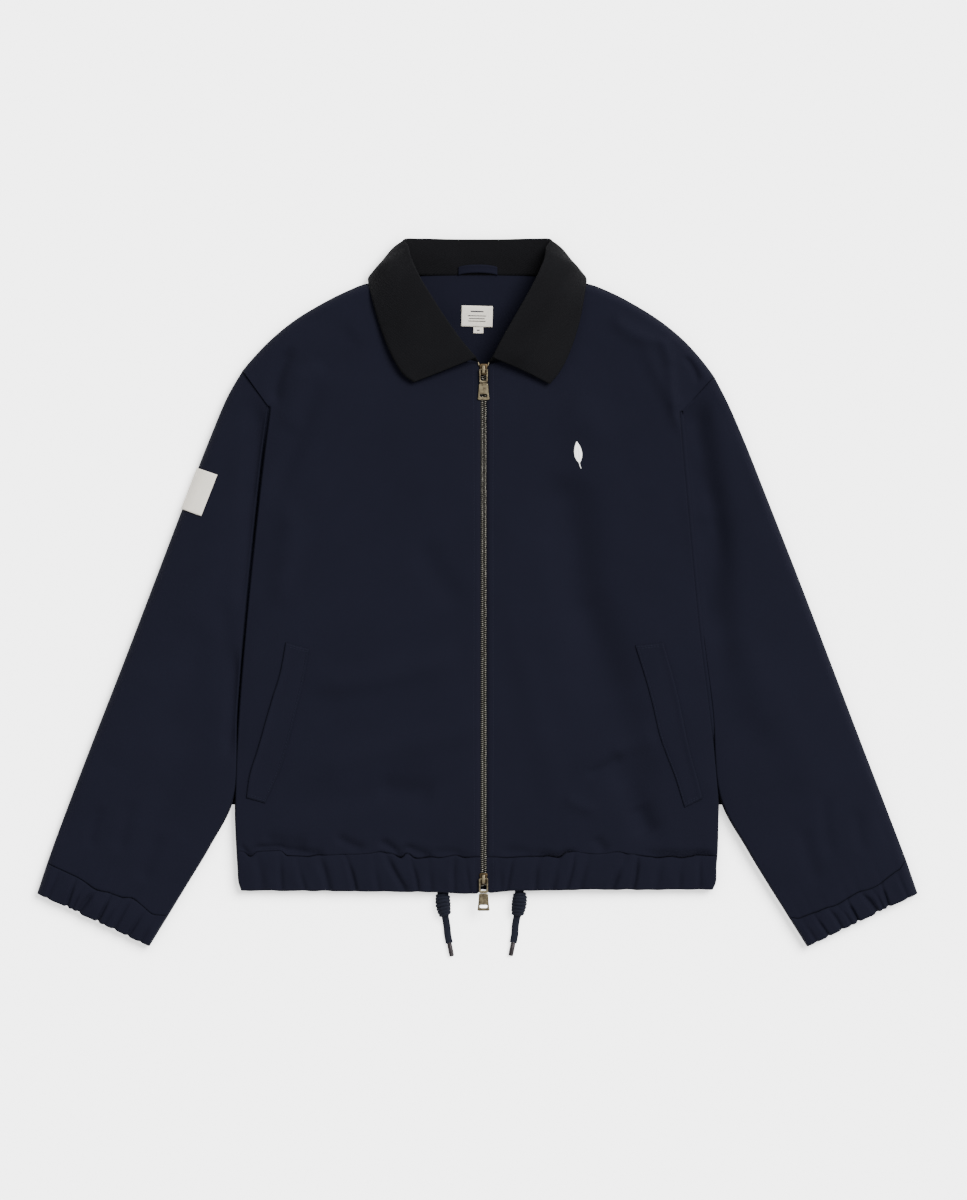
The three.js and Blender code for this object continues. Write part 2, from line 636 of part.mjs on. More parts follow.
function addFrontHem(name, half) {
  const from = half.sign * zip.edge;
  const grid = even(4).map((t) => {
    const y = bandHeight * (1 - t);
    const side = alongLineAtY(half.sideLine, y).x;
    return crowdEnd(40, 1.12).map((u) => {
      const x = from + (side - from) * u;
      return new THREE.Vector3(x, y, casingUpper(half, x, y));
    });
  });
  const fit = (p, outer, j, i) => {
    p.y = outer.y;
    if (i === 0) p.x = outer.x;
    keepAbove(p);
  };
  add(name, wall(grid, cloth.casing, -half.sign, { fit }), "canvas");
}

function addBackHem() {
  const { right, left } = halves;
  const grid = even(3).map((t) => {
    const y = bandHeight * (1 - t);
    const [from, to] = [alongLineAtY(right.sideLine, y).x, alongLineAtY(left.sideLine, y).x];
    return crowdBoth(24, 1.8).map((u) => underPoint(from + (to - from) * u, y));
  });
  const fit = (p, outer) => {
    p.y = outer.y;
    keepBelow(p);
  };
  add("hem_back", wall(grid, cloth.casing, 1, { fit }), "canvas");
}

// The collar: sections lofted round the neck, each a smooth line from the sewn edge over the roll to the free edge
function addCollar() {
  const names = ["neck", "roll", "over", "edge"];
  const around = Object.fromEntries(
    names.map((name) => [
      name,
      new THREE.CatmullRomCurve3(collarSections.map((s) => new THREE.Vector3(...s[name])), false, "centripetal"),
    ]),
  );
  const half = cloth.collar / 2;
  const stations = 2 * (collarSections.length - 1);
  const grid = even(stations).map((t) => {
    const [neck, roll, over, edge] = names.map((name) => around[name].getPoint(t));
    const stand = neck.clone().lerp(roll, 0.55);
    stand.z += 1.2;
    const turn = roll.clone().lerp(over, 0.1);
    turn.z += 0.6;
    const section = new THREE.CatmullRomCurve3([neck, stand, roll, turn, over, edge], false, "centripetal");
    return [0, 0.16, 0.28, 0.36, 0.42, 0.49, 0.57, 0.7, 0.85, 1].map((s) => {
      const point = section.getPoint(s);
      point.z = Math.max(point.z, half + 0.02);
      return point;
    });
  });
  const normals = gridNormals(grid, false);
  add("collar", bodyBetween(movedOut(grid, normals, half), movedOut(grid, normals, -half), false), "corduroy");
}

// Welt over a slanted pocket: its outer edge bows with the pull of the hand opening
function addWelt(name, welt) {
  const grid = even(12).map((t) => {
    const x = welt.top[0] + (welt.bottom[0] - welt.top[0]) * t - welt.toZip * welt.bow * 4 * t * (1 - t) * -0.5;
    const y = welt.top[1] + (welt.bottom[1] - welt.top[1]) * t;
    return even(3).map((s) => {
      const px = x + welt.toZip * welt.width * s;
      const py = y - 4 * s;
      return new THREE.Vector3(px, py, bodyUpper(px, py) + cloth.seamGap * 4 + cloth.welt);
    });
  });
  add(name, wall(grid, cloth.welt, -welt.toZip), "canvas");
}

// A flat label sewn on the inside of the back
function addBackLabel(name, label) {
  const turn = THREE.MathUtils.degToRad(label.turn || 0);
  const grid = even(3).map((t) =>
    even(4).map((s) => {
      const dx = (s - 0.5) * label.width;
      const dy = (0.5 - t) * label.height;
      const x = label.x + dx * Math.cos(turn) - dy * Math.sin(turn);
      const y = label.y + dx * Math.sin(turn) + dy * Math.cos(turn);
      return new THREE.Vector3(x, y, bodyUnder(x, y) + cloth.shell + 3 * cloth.seamGap + cloth.label);
    }),
  );
  add(name, wall(grid, cloth.label, -1), "label");
}

// Label on the right sleeve, round its outer fold
function addSleeveLabel() {
  const half = halves.right;
  const folds = sleeveFolds(half);
  const shares = [1, 0.72, 0.45, 0.2, 0.07, 0.01, 0];
  const grid = even(5).map((t) => {
    const place = sleeveLabel.from + (sleeveLabel.to - sleeveLabel.from) * t;
    const row = rowBetween(half.sleeve[Math.floor(place)], half.sleeve[Math.floor(place) + 1], place % 1);
    const width = Math.hypot(row.innerX - row.outerX, row.innerY - row.outerY);
    const at = (s) => [
      row.outerX + ((row.innerX - row.outerX) * s) / width,
      row.outerY + ((row.innerY - row.outerY) * s) / width,
    ];
    const over = shares.map((s) => {
      const [x, y] = at(s * sleeveLabel.width);
      return new THREE.Vector3(x, y, upper(x, y, folds));
    });
    const [x, y] = at(2.2);
    return [...over, new THREE.Vector3(x, y, under(x, y, folds))];
  });
  const normals = gridNormals(grid, false);
  const inner = movedOut(grid, normals, cloth.seamGap * 2);
  const outer = movedOut(grid, normals, cloth.seamGap * 2 + cloth.label);
  add("sleeve_label", bodyBetween(outer, inner, false), "label");
}

// Hanger loop: a strap arched over the collar stand, its ends turned down to the neck seam
function addHangerLoop() {
  const { left, right, width, thick } = hangerLoop;
  const grid = even(12).map((t) => {
    const arch = Math.sin(Math.PI * t);
    const x = left + (right - left) * t;
    const z = hangerLoop.z + hangerLoop.rise * arch ** 0.7;
    const y = hangerLoop.y - 3.2 * (1 - arch ** 0.5);
    return [0, 0.5, 1].map((s) => new THREE.Vector3(x, y + (s - 0.5) * width, z + 1.2 * s));
  });
  add("hanger_loop", wall(grid, thick, 1), "canvas");
}

// The zip: two tapes under the fronts' edges, and the chain of teeth between them
function addStrip(name, x0, x1, depth0, depth1, y0, y1, material) {
  const zAt = (x, y) => bodyUpper(x, y);
  const grid = even(16).map((t) => {
    const y = y0 + (y1 - y0) * t;
    return [x0, x1].map((x) => new THREE.Vector3(x, y, zAt(0, y) + depth1));
  });
  const inner = grid.map((row) => row.map((p) => p.clone().setZ(p.z - depth1 + depth0)));
  add(name, bodyBetween(grid, inner, false), material);
}
function addZip() {
  const chainDepth = 2.3;
  const tapeTop = -(cloth.casing + 3 * cloth.seamGap);
  const half = zip.chainWidth / 2;
  addStrip("zip_chain", -half, half, -chainDepth, zip.chainHeight - chainDepth, zip.bottom, zip.top - 8, "brass");
  for (const [side, sign] of [["right", -1], ["left", 1]]) {
    addStrip(`zip_tape_${side}`, sign * 0.4, sign * zip.tapeWidth, tapeTop - zip.tape, tapeTop, zip.bottom - 1, zip.top - 4, "tape");
  }
}

// Slider: a shield-shaped plate over the chain with a bridge that the pull hangs on
function sliderGeometry() {
  const w = slider.width / 2;
  const l = slider.length / 2;
  const plan = new THREE.Shape();
  plan.moveTo(-w * 0.62, -l);
  plan.lineTo(w * 0.62, -l);
  plan.quadraticCurveTo(w * 0.8, -l * 0.2, w, l * 0.5);
  plan.quadraticCurveTo(w, l, w * 0.6, l);
  plan.lineTo(-w * 0.6, l);
  plan.quadraticCurveTo(-w, l, -w, l * 0.5);
  plan.quadraticCurveTo(-w * 0.8, -l * 0.2, -w * 0.62, -l);
  return new THREE.ExtrudeGeometry(plan, { depth: slider.plate, bevelEnabled: false, curveSegments: 4 });
}
// The bridge is an arch along y, so its feet stand on the plate either side of the pull's bar
function bridgeGeometry() {
  const { bridgeWall: t, bridgeRise: h, bridgeWidth } = slider;
  const reach = slider.length / 2 - 1.2;
  const arch = new THREE.Shape();
  arch.moveTo(-reach, -0.2);
  arch.lineTo(-reach, h * 0.5);
  arch.quadraticCurveTo(-reach, h + t, -reach * 0.4, h + t);
  arch.lineTo(reach * 0.4, h + t);
  arch.quadraticCurveTo(reach, h + t, reach, h * 0.5);
  arch.lineTo(reach, -0.2);
  arch.lineTo(reach - t, -0.2);
  arch.lineTo(reach - t, h * 0.5);
  arch.quadraticCurveTo(reach - t, h, reach * 0.4, h);
  arch.lineTo(-reach * 0.4, h);
  arch.quadraticCurveTo(-reach + t, h, -reach + t, h * 0.5);
  arch.lineTo(-reach + t, -0.2);
  const geometry = new THREE.ExtrudeGeometry(arch, { depth: bridgeWidth, bevelEnabled: false, curveSegments: 4 });
  // the drawn x axis becomes y, the drawn y axis becomes z
  geometry.applyMatrix4(new THREE.Matrix4().makeBasis(
    new THREE.Vector3(0, 1, 0),
    new THREE.Vector3(0, 0, 1),
    new THREE.Vector3(1, 0, 0),
  ));
  return geometry.translate(-bridgeWidth / 2, 0, slider.plate);
}

// Pull: hangs along -y from the bar at its own origin, with a window for the bridge and one at its foot
function pullGeometry() {
  const { bar, length, shoulder, waist, foot, waistAt, window: slot, thick } = pull;
  const plan = new THREE.Shape();
  plan.moveTo(-shoulder, bar);
  plan.lineTo(-waist, -waistAt);
  plan.lineTo(-foot, -length + 2.5);
  plan.quadraticCurveTo(-foot, -length, -foot + 2.5, -length);
  plan.lineTo(foot - 2.5, -length);
  plan.quadraticCurveTo(foot, -length, foot, -length + 2.5);
  plan.lineTo(waist, -waistAt);
  plan.lineTo(shoulder, bar);
  const bridgeWindow = new THREE.Path();
  bridgeWindow.moveTo(-slot, -bar);
  bridgeWindow.lineTo(slot, -bar);
  bridgeWindow.lineTo(slot, -11);
  bridgeWindow.quadraticCurveTo(slot, -13.4, 0, -13.6);
  bridgeWindow.quadraticCurveTo(-slot, -13.4, -slot, -11);
  bridgeWindow.lineTo(-slot, -bar);
  const footWindow = new THREE.Path();
  const [top, bottom, half] = [-length + 6.4, -length + 2, foot - 1.8];
  footWindow.moveTo(-half, top);
  footWindow.lineTo(half, top);
  footWindow.lineTo(half, bottom);
  footWindow.lineTo(-half, bottom);
  footWindow.lineTo(-half, top);
  plan.holes.push(bridgeWindow, footWindow);
  return new THREE.ExtrudeGeometry(plan, { depth: thick, bevelEnabled: false, curveSegments: 4 }).translate(0, 0, -thick / 2);
}

async function joined(first, second) {
  const { default: Module } = await import("manifold-3d");
  const wasm = await Module();
  wasm.setup();
  const { mergeVertices } = await import("three/addons/utils/BufferGeometryUtils.js");
  const solidOf = (geometry) => {
    const bare = geometry.clone();
    bare.deleteAttribute("normal");
    bare.deleteAttribute("uv");
    const merged = mergeVertices(bare, 1e-4);
    return new wasm.Manifold(
      new wasm.Mesh({
        numProp: 3,
        vertProperties: merged.attributes.position.array,
        triVerts: new Uint32Array(merged.index.array),
      }),
    );
  };
  const mesh = solidOf(first).add(solidOf(second)).getMesh();
  const geometry = new THREE.BufferGeometry();
  geometry.setAttribute("position", new THREE.BufferAttribute(new Float32Array(mesh.vertProperties), 3));
  geometry.setIndex(new THREE.BufferAttribute(new Uint32Array(mesh.triVerts), 1));
  return geometry;
}

async function addSliders() {
  for (const [place, { y, pullTilt }] of Object.entries(sliders)) {
    const reach = slider.length / 2;
    const z = Math.max(...[-reach, 0, reach].map((dy) => bodyUpper(zip.edge, y + dy))) + slider.lift;
    const body = add(`slider_${place}`, await joined(sliderGeometry(), bridgeGeometry()), "brass");
    body.position.set(0, y, z);
    const tab = add(`pull_${place}`, pullGeometry(), "brass");
    tab.position.set(0, y, z + slider.plate + slider.bridgeRise / 2);
    tab.rotation.x = THREE.MathUtils.degToRad(pullTilt);
  }
}

// Drawcords, their wrapped knots and metal ends
function routeCurve(side) {
  const points = cordRoutes[side].map(([x, y, z], i) => {
    const ceiling = casingUpper(halves[side], x, Math.max(y, 0)) - cloth.casing;
    return new THREE.Vector3(x, y, i < 2 ? ceiling + z : z);
  });
  return new THREE.CatmullRomCurve3(points, false, "centripetal");
}

function addCord(side) {
  const route = routeCurve(side);
  const section = new THREE.Shape();
  for (let i = 0; i < cord.sides; i += 1) {
    const turn = (2 * Math.PI * i) / cord.sides;
    const [x, y] = [Math.cos(turn) * (cord.diameter / 2), Math.sin(turn) * (cord.diameter / 2)];
    if (i === 0) section.moveTo(x, y);
    else section.lineTo(x, y);
  }
  section.closePath();
  add(`drawcord_${side}`, new THREE.ExtrudeGeometry(section, { steps: 16, extrudePath: route }), "cord");

  // the knot's turns ride round the cord, as a ridged barrel with a bore
  const rings = even(2 * knot.turns).map((t) => {
    const s = knot.from + (knot.to - knot.from) * t;
    const middle = route.getPointAt(s);
    const along = route.getTangentAt(s);
    const across = new THREE.Vector3(0, 0, 1).cross(along).normalize();
    const up = along.clone().cross(across);
    const swellAt = knot.waist + (knot.belly - knot.waist) * Math.sin(Math.PI * Math.min(0.12 + t * 0.8, 1)) ** 0.8;
    const ridge = knot.ridge * Math.cos(2 * Math.PI * knot.turns * t);
    const ring = (radius) =>
      even(8).slice(0, -1).map((a) => {
        const turn = 2 * Math.PI * a;
        const flat = Math.sin(turn) < 0 ? Math.min(radius, middle.z / Math.max(-Math.sin(turn), 0.01) - 0.05) : radius;
        return middle.clone().addScaledVector(across, Math.cos(turn) * flat).addScaledVector(up, Math.sin(turn) * flat);
      });
    return { outer: ring(swellAt + ridge), inner: ring(knot.bore) };
  });
  add(`knot_${side}`, bodyBetween(rings.map((r) => r.outer), rings.map((r) => r.inner), true), "cord");

  const end = route.getPointAt(1);
  const along = route.getTangentAt(1).setZ(0).normalize();
  const metal = add(
    `aglet_${side}`,
    new THREE.LatheGeometry(
      [
        [0, 0],
        [aglet.radius * 0.92, 0],
        [aglet.radius, 1.2],
        [aglet.radius, aglet.length - 2],
        [aglet.radius * 0.75, aglet.length],
        [0, aglet.length],
      ].map(([r, h]) => new THREE.Vector2(r, h)),
      12,
    ),
    "steel",
  );
  metal.position.copy(end).addScaledVector(along, cloth.seamGap);
  metal.quaternion.setFromUnitVectors(new THREE.Vector3(0, 1, 0), along);
}

addBack();
for (const [side, half] of Object.entries(halves)) {
  addFront(`front_${side}`, half);
  addFrontHem(`hem_front_${side}`, half);
  addSleeve(`sleeve_${side}`, half);
  addCuff(`cuff_${side}`, half);
  addWelt(`welt_${side}`, welts[side]);
}
addBackHem();
addCollar();
addBackLabel("neck_label", neckLabel);
addBackLabel("size_tab", sizeTab);
addSleeveLabel();
addHangerLoop();
addZip();
await addSliders();
addCord("right");
addCord("left");

// The origin: under the middle of the outline, the drawcords left out
group.updateMatrixWorld(true);
const outline = new THREE.Box3();
group.children
  .filter((mesh) => !/drawcord|knot|aglet/.test(mesh.name))
  .forEach((mesh) => outline.expandByObject(mesh, true));
const middle = outline.getCenter(new THREE.Vector3());
group.position.set(-middle.x, -middle.y, 0);

export default group;
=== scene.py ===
# A navy canvas zip jacket with a corduroy collar, laid out flat on its back and seen from above.
# Shapes are worked out in millimetres from the zip's centre line (x) and the hem's lower edge (y), z up from
# the floor, and go into the meshes in metres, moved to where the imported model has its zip.
import json
import math
import bpy
import numpy as np
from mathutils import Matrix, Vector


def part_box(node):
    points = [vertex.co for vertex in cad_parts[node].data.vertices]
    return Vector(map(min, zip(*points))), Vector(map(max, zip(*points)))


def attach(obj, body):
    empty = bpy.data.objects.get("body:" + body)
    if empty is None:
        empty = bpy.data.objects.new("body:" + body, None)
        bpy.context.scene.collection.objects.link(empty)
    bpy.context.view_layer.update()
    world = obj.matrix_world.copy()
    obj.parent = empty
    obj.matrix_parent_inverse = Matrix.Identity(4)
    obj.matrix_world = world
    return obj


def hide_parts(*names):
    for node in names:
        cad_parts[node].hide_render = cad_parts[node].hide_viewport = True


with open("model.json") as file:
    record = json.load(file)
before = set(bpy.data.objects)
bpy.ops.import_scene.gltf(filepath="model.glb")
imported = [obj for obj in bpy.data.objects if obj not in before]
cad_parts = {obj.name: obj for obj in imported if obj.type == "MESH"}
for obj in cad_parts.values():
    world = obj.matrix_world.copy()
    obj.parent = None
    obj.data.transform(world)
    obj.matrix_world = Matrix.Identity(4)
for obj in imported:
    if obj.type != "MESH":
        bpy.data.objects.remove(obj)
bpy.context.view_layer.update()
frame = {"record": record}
scene = bpy.context.scene
print("packed model loaded")

mm = 0.001
chainStart = 4  # from the hem's lower edge to the zip's chain
chainLow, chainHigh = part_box("zip_chain")
originShift = np.array([(chainLow[0] + chainHigh[0]) / 2, chainLow[1] - chainStart * mm, 0.0])


# Curves and easing

def throughPoints(points, t):
    # centripetal spline through the points; t runs from 0 to 1, in equal parts for each span
    p = np.asarray(points, float)
    spans = len(p) - 1
    s = np.clip(np.asarray(t, float), 0, 1) * spans
    i = np.minimum(s.astype(int), spans - 1)
    w = (s - i)[..., None]
    ends = np.vstack([2 * p[0] - p[1], p, 2 * p[-1] - p[-2]])
    p0, p1, p2, p3 = ends[i], ends[i + 1], ends[i + 2], ends[i + 3]

    def knotStep(a, b):
        return np.maximum(np.linalg.norm(b - a, axis=-1, keepdims=True), 1e-6) ** 0.5

    t0, t1, t2 = knotStep(p0, p1), knotStep(p1, p2), knotStep(p2, p3)
    m1 = ((p1 - p0) / t0 - (p2 - p0) / (t0 + t1) + (p2 - p1) / t1) * t1
    m2 = ((p2 - p1) / t1 - (p3 - p1) / (t1 + t2) + (p3 - p2) / t2) * t1
    return p1 + m1 * w + (3 * (p2 - p1) - 2 * m1 - m2) * w**2 + (2 * (p1 - p2) + m1 + m2) * w**3


def smoothLine(points, count=48):
    return throughPoints(points, np.linspace(0, 1, count + 1))


def unit(vectors):
    return vectors / np.maximum(np.linalg.norm(vectors, axis=-1, keepdims=True), 1e-9)


def wayAlong(points, axis=0):
    # way travelled to each point of a line, or along a grid's rows or columns, from the first one
    way = np.cumsum(np.linalg.norm(np.diff(points, axis=axis), axis=-1), axis=axis)
    return np.concatenate([np.zeros_like(np.take(way, [0], axis)), way], axis)


def alongLine(line, t):
    # the point at share t of the line's length
    reach = wayAlong(line)
    at = np.clip(t, 0, 1) * reach[-1]
    return np.stack([np.interp(at, reach, line[:, k]) for k in range(line.shape[1])], axis=-1)


def lineX(line, y):
    # x of a line that climbs, at each y
    return np.interp(y, line[:, 1], line[:, 0])


def distanceTo(line, x, y):
    # shortest way from each (x, y) to the line, a segment at a time over whole arrays
    least = np.full(np.broadcast(x, y).shape, 1e9)
    for a, b in zip(line[:-1], line[1:]):
        d = b[:2] - a[:2]
        share = np.clip(((x - a[0]) * d[0] + (y - a[1]) * d[1]) / max(d @ d, 1e-9), 0, 1)
        least = np.minimum(least, np.hypot(x - a[0] - share * d[0], y - a[1] - share * d[1]))
    return least


def ease(value, low, high):
    s = np.clip((value - low) / (high - low), 0, 1)
    return s * s * (3 - 2 * s)


def easedTable(rows, at):
    # value of the (place, value) rows at each place, eased between them
    places, values = np.array(rows, float).T
    i = np.clip(np.searchsorted(places, at) - 1, 0, len(places) - 2)
    return values[i] + (values[i + 1] - values[i]) * ease(at, places[i], places[i + 1])


def bump(value, middle, width):
    return np.exp(-(((value - middle) / width) ** 2))


def crowdEnd(count, power):
    # shares from 0 to 1 that crowd together towards 1
    return 1 - (1 - np.linspace(0, 1, count + 1)) ** power


def crowdBoth(count, power):
    t = np.linspace(0, 1, count + 1)
    return np.where(t < 0.5, 0.5 * (2 * t) ** power, 1 - 0.5 * (2 - 2 * t) ** power)


def softNoise(x, y, size, seed):
    # smooth noise between -1 and 1: a seeded lattice of values, blended between its nodes by ease
    cells = 64
    lattice = np.random.default_rng(seed).uniform(-1, 1, (cells, cells))
    u, v = np.asarray(x) / size + 17.3, np.asarray(y) / size + 11.7
    i, j = np.floor(u).astype(int), np.floor(v).astype(int)
    a, b = ease(u - i, 0, 1), ease(v - j, 0, 1)
    i0, i1, j0, j1 = i % cells, (i + 1) % cells, j % cells, (j + 1) % cells
    low = lattice[i0, j0] * (1 - a) + lattice[i1, j0] * a
    high = lattice[i0, j1] * (1 - a) + lattice[i1, j1] * a
    return low * (1 - b) + high * b


def pointsFrom(*axes):
    # points from their x, y and z, or pairs from u and v, each an array or one value for all
    return np.stack(np.broadcast_arrays(*axes), -1)


def ringShape(count, power=1.0, start=0.0):
    # points round a circle of radius one, or a squarer outline where power is under 1
    turn = np.linspace(0, 2 * np.pi, count, endpoint=False) + start
    c, s = np.cos(turn), np.sin(turn)
    return pointsFrom(np.sign(c) * np.abs(c) ** power, np.sign(s) * np.abs(s) ** power)


def squareTo(along):
    # a level and an upward direction square to each direction; a steep one takes the level one before it
    side = np.cross([0.0, 0.0, 1.0], along)
    for n in np.flatnonzero(np.linalg.norm(side, axis=1) < 0.05):
        side[n] = side[n - 1] if n else [1.0, 0.0, 0.0]
    side = unit(side)
    return side, np.cross(along, side)


def ringsAround(path, side, up, shape):
    # a ring at each point of the path: point + side * shape0 + up * shape1
    return path[:, None] + side[:, None] * shape[..., :1] + up[:, None] * shape[..., 1:]


# Meshes

def addObject(name, data):
    made = bpy.data.objects.new(name, data)
    scene.collection.objects.link(made)
    return made


def makeMesh(name, points, quads, uvs=None, flatFrom=None):
    # points in millimetres; quads as rows of four indices; uvs one pair a point, in metres
    mesh = bpy.data.meshes.new(name)
    placed = np.asarray(points, float) * mm + originShift
    quads = np.asarray(quads, np.int32)
    mesh.vertices.add(len(placed))
    mesh.vertices.foreach_set("co", placed.astype(np.float32).ravel())
    mesh.loops.add(quads.size)
    mesh.loops.foreach_set("vertex_index", quads.ravel())
    mesh.polygons.add(len(quads))
    mesh.polygons.foreach_set("loop_start", np.arange(0, quads.size, 4, dtype=np.int32))
    if uvs is not None:
        layer = mesh.uv_layers.new(name="clothMap")
        layer.data.foreach_set("uv", np.asarray(uvs, np.float32)[quads.ravel()].ravel())
    mesh.update(calc_edges=True)
    smooth = np.ones(len(quads), bool)
    smooth[flatFrom or len(quads):] = False
    mesh.polygons.foreach_set("use_smooth", smooth)
    mesh.validate()
    return addObject(name, mesh)


def gridQuads(rows, cols, wraps):
    # indices of the quads of a grid; wraps joins each row's end to its start
    j, i = np.meshgrid(np.arange(rows - 1), np.arange(cols if wraps else cols - 1), indexing="ij")
    k = (i + 1) % cols
    return np.stack([j * cols + i, j * cols + k, (j + 1) * cols + k, (j + 1) * cols + i], -1).reshape(-1, 4)


def barQuads(count, rings, sides):
    # quads of many closed bars, each a few rings with a lid at both ends
    ends = [(end, m) for end in (0, (rings - 1) * sides) for m in range(0, sides - 2, 2)]
    lids = [(end, end + m + 1, end + m + 2, end + m + 3) for end, m in ends]
    bar = np.vstack([gridQuads(rings, sides, True), lids])
    return (bar + (np.arange(count) * rings * sides)[:, None, None]).reshape(-1, 4)


def facingOut(points, quads):
    # the quads turned so that the surface holds a positive volume
    a, b, c, d = (points[quads[:, n]] for n in range(4))
    volume = (a * (np.cross(b, c) + np.cross(c, d))).sum()
    return quads[:, ::-1] if volume < 0 else quads


def gridNormals(grid, wraps=False):
    # unit normals of a grid of points, all on one side of it
    across = np.roll(grid, -1, 1) - np.roll(grid, 1, 1) if wraps else np.gradient(grid, axis=1)
    return unit(np.cross(across, np.gradient(grid, axis=0)))


def clothMap(grid):
    # the grid's own lengths across and along, in metres
    return pointsFrom(wayAlong(grid, 1).mean(0, keepdims=True), wayAlong(grid).mean(1, keepdims=True)) * mm


def shellBetween(name, outer, inner, wraps=False, uvs=None):
    # closed wall between an outer and an inner grid of points
    rows, cols = outer.shape[:2]
    count = rows * cols
    skin = gridQuads(rows, cols, wraps)
    walls = [skin, skin[:, ::-1] + count]
    i = np.arange(cols if wraps else cols - 1)
    k = (i + 1) % cols
    end = (rows - 1) * cols
    walls.append(np.stack([i, i + count, k + count, k], -1))
    walls.append(np.stack([end + i, end + k, end + k + count, end + i + count], -1))
    if not wraps:
        j = np.arange(rows - 1) * cols
        walls.append(np.stack([j, j + cols, j + cols + count, j + count], -1))
        e = j + cols - 1
        walls.append(np.stack([e, e + count, e + cols + count, e + cols], -1))
    points = np.vstack([outer.reshape(-1, 3), inner.reshape(-1, 3)])
    uvs = clothMap(outer) if uvs is None else uvs
    uvs = np.vstack([uvs.reshape(-1, 2)] * 2)
    return makeMesh(name, points, facingOut(points, np.vstack(walls)), uvs, flatFrom=2 * len(skin))


def shell(name, outer, thickness, facing, wraps=False, fit=None):
    # wall of the given thickness behind the outer grid; facing is the side of the normals that is outside
    inner = outer - facing * thickness * gridNormals(outer, wraps)
    if fit is not None:
        inner = fit(inner, outer)
    return shellBetween(name, outer, inner, wraps)


def closedTube(name, points):
    # rings of points joined into a tube, each end drawn in to its middle
    drawn = [end * 0.02 + end.mean(1, keepdims=True) * 0.98 for end in (points[:1], points[-1:])]
    grid = np.concatenate([drawn[0], points, drawn[1]])
    rows, cols = grid.shape[:2]
    flat = grid.reshape(-1, 3)
    lids = []
    for lid in (np.arange(cols)[::-1], (rows - 1) * cols + np.arange(cols)):
        lids += [[lid[n], lid[n + 1], lid[cols - 2 - n], lid[cols - 1 - n]] for n in range(cols // 2 - 1)]
    quads = np.vstack([facingOut(flat, gridQuads(rows, cols, True)), lids])
    return makeMesh(name, flat, quads, clothMap(grid).reshape(-1, 2))


def sweptTube(name, path, shape):
    # a profile carried along a path: shape holds its sideways and upward offsets, for all rings or each
    side, up = squareTo(unit(np.gradient(path, axis=0)))
    return closedTube(name, ringsAround(path, side, up, shape))


def tubeAlong(name, path, radius, sides):
    return sweptTube(name, path, np.broadcast_to(radius, len(path))[:, None, None] * ringShape(sides))


def lathed(name, start, direction, profile):
    # profile of (height, radius) rows turned about a line from start along direction
    rows = np.array(profile, float)
    side, up = squareTo(direction[None])
    middles = start + rows[:, :1] * direction
    return closedTube(name, ringsAround(middles, side, up, rows[:, None, 1:] * ringShape(20)))


def finishPiece(piece, material, body="jacket", replaces=()):
    piece.data.materials.clear()
    piece.data.materials.append(material)
    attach(piece, body)
    if replaces:
        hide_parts(*replaces)
    return piece


# Materials

class Nodes:
    # short way to add nodes and links to a new material
    def __init__(self, name):
        self.material = bpy.data.materials.new(name)
        self.material.use_nodes = True
        self.tree = self.material.node_tree
        self.shader = self.tree.nodes["Principled BSDF"]

    def feed(self, node, inputs):
        # each input takes a value, or a link where it is given another node's output
        for key, value in inputs.items():
            if isinstance(value, bpy.types.NodeSocket):
                self.tree.links.new(value, node.inputs[key])
            else:
                node.inputs[key].default_value = value

    def add(self, kind, inputs, **settings):
        node = self.tree.nodes.new("ShaderNode" + kind)
        for key, value in settings.items():
            setattr(node, key, value)
        self.feed(node, inputs)
        return node

    def math(self, operation, first, second):
        return self.add("Math", {0: first, 1: second}, operation=operation).outputs[0]

    def ramp(self, factor, low, high, start=0.0, end=1.0):
        node = self.add("ValToRGB", {"Fac": factor})
        for element, place, colour in zip(node.color_ramp.elements, (start, end), (low, high)):
            element.position = place
            element.color = colour
        return node.outputs["Color"]

    def relief(self, height, strength, depth):
        return self.add("Bump", {"Height": height, "Strength": strength, "Distance": depth}).outputs["Normal"]

    def threads(self, place, pitch, direction, distortion=0.4):
        scale = 0.314 / pitch  # the wave texture's scale for one thread a pitch
        wave = {"Vector": place, "Scale": scale, "Distortion": distortion, "Detail": 2, "Detail Scale": 1.6}
        node = self.add("TexWave", wave, wave_type="BANDS", bands_direction=direction, wave_profile="SIN")
        return node.outputs["Fac"]


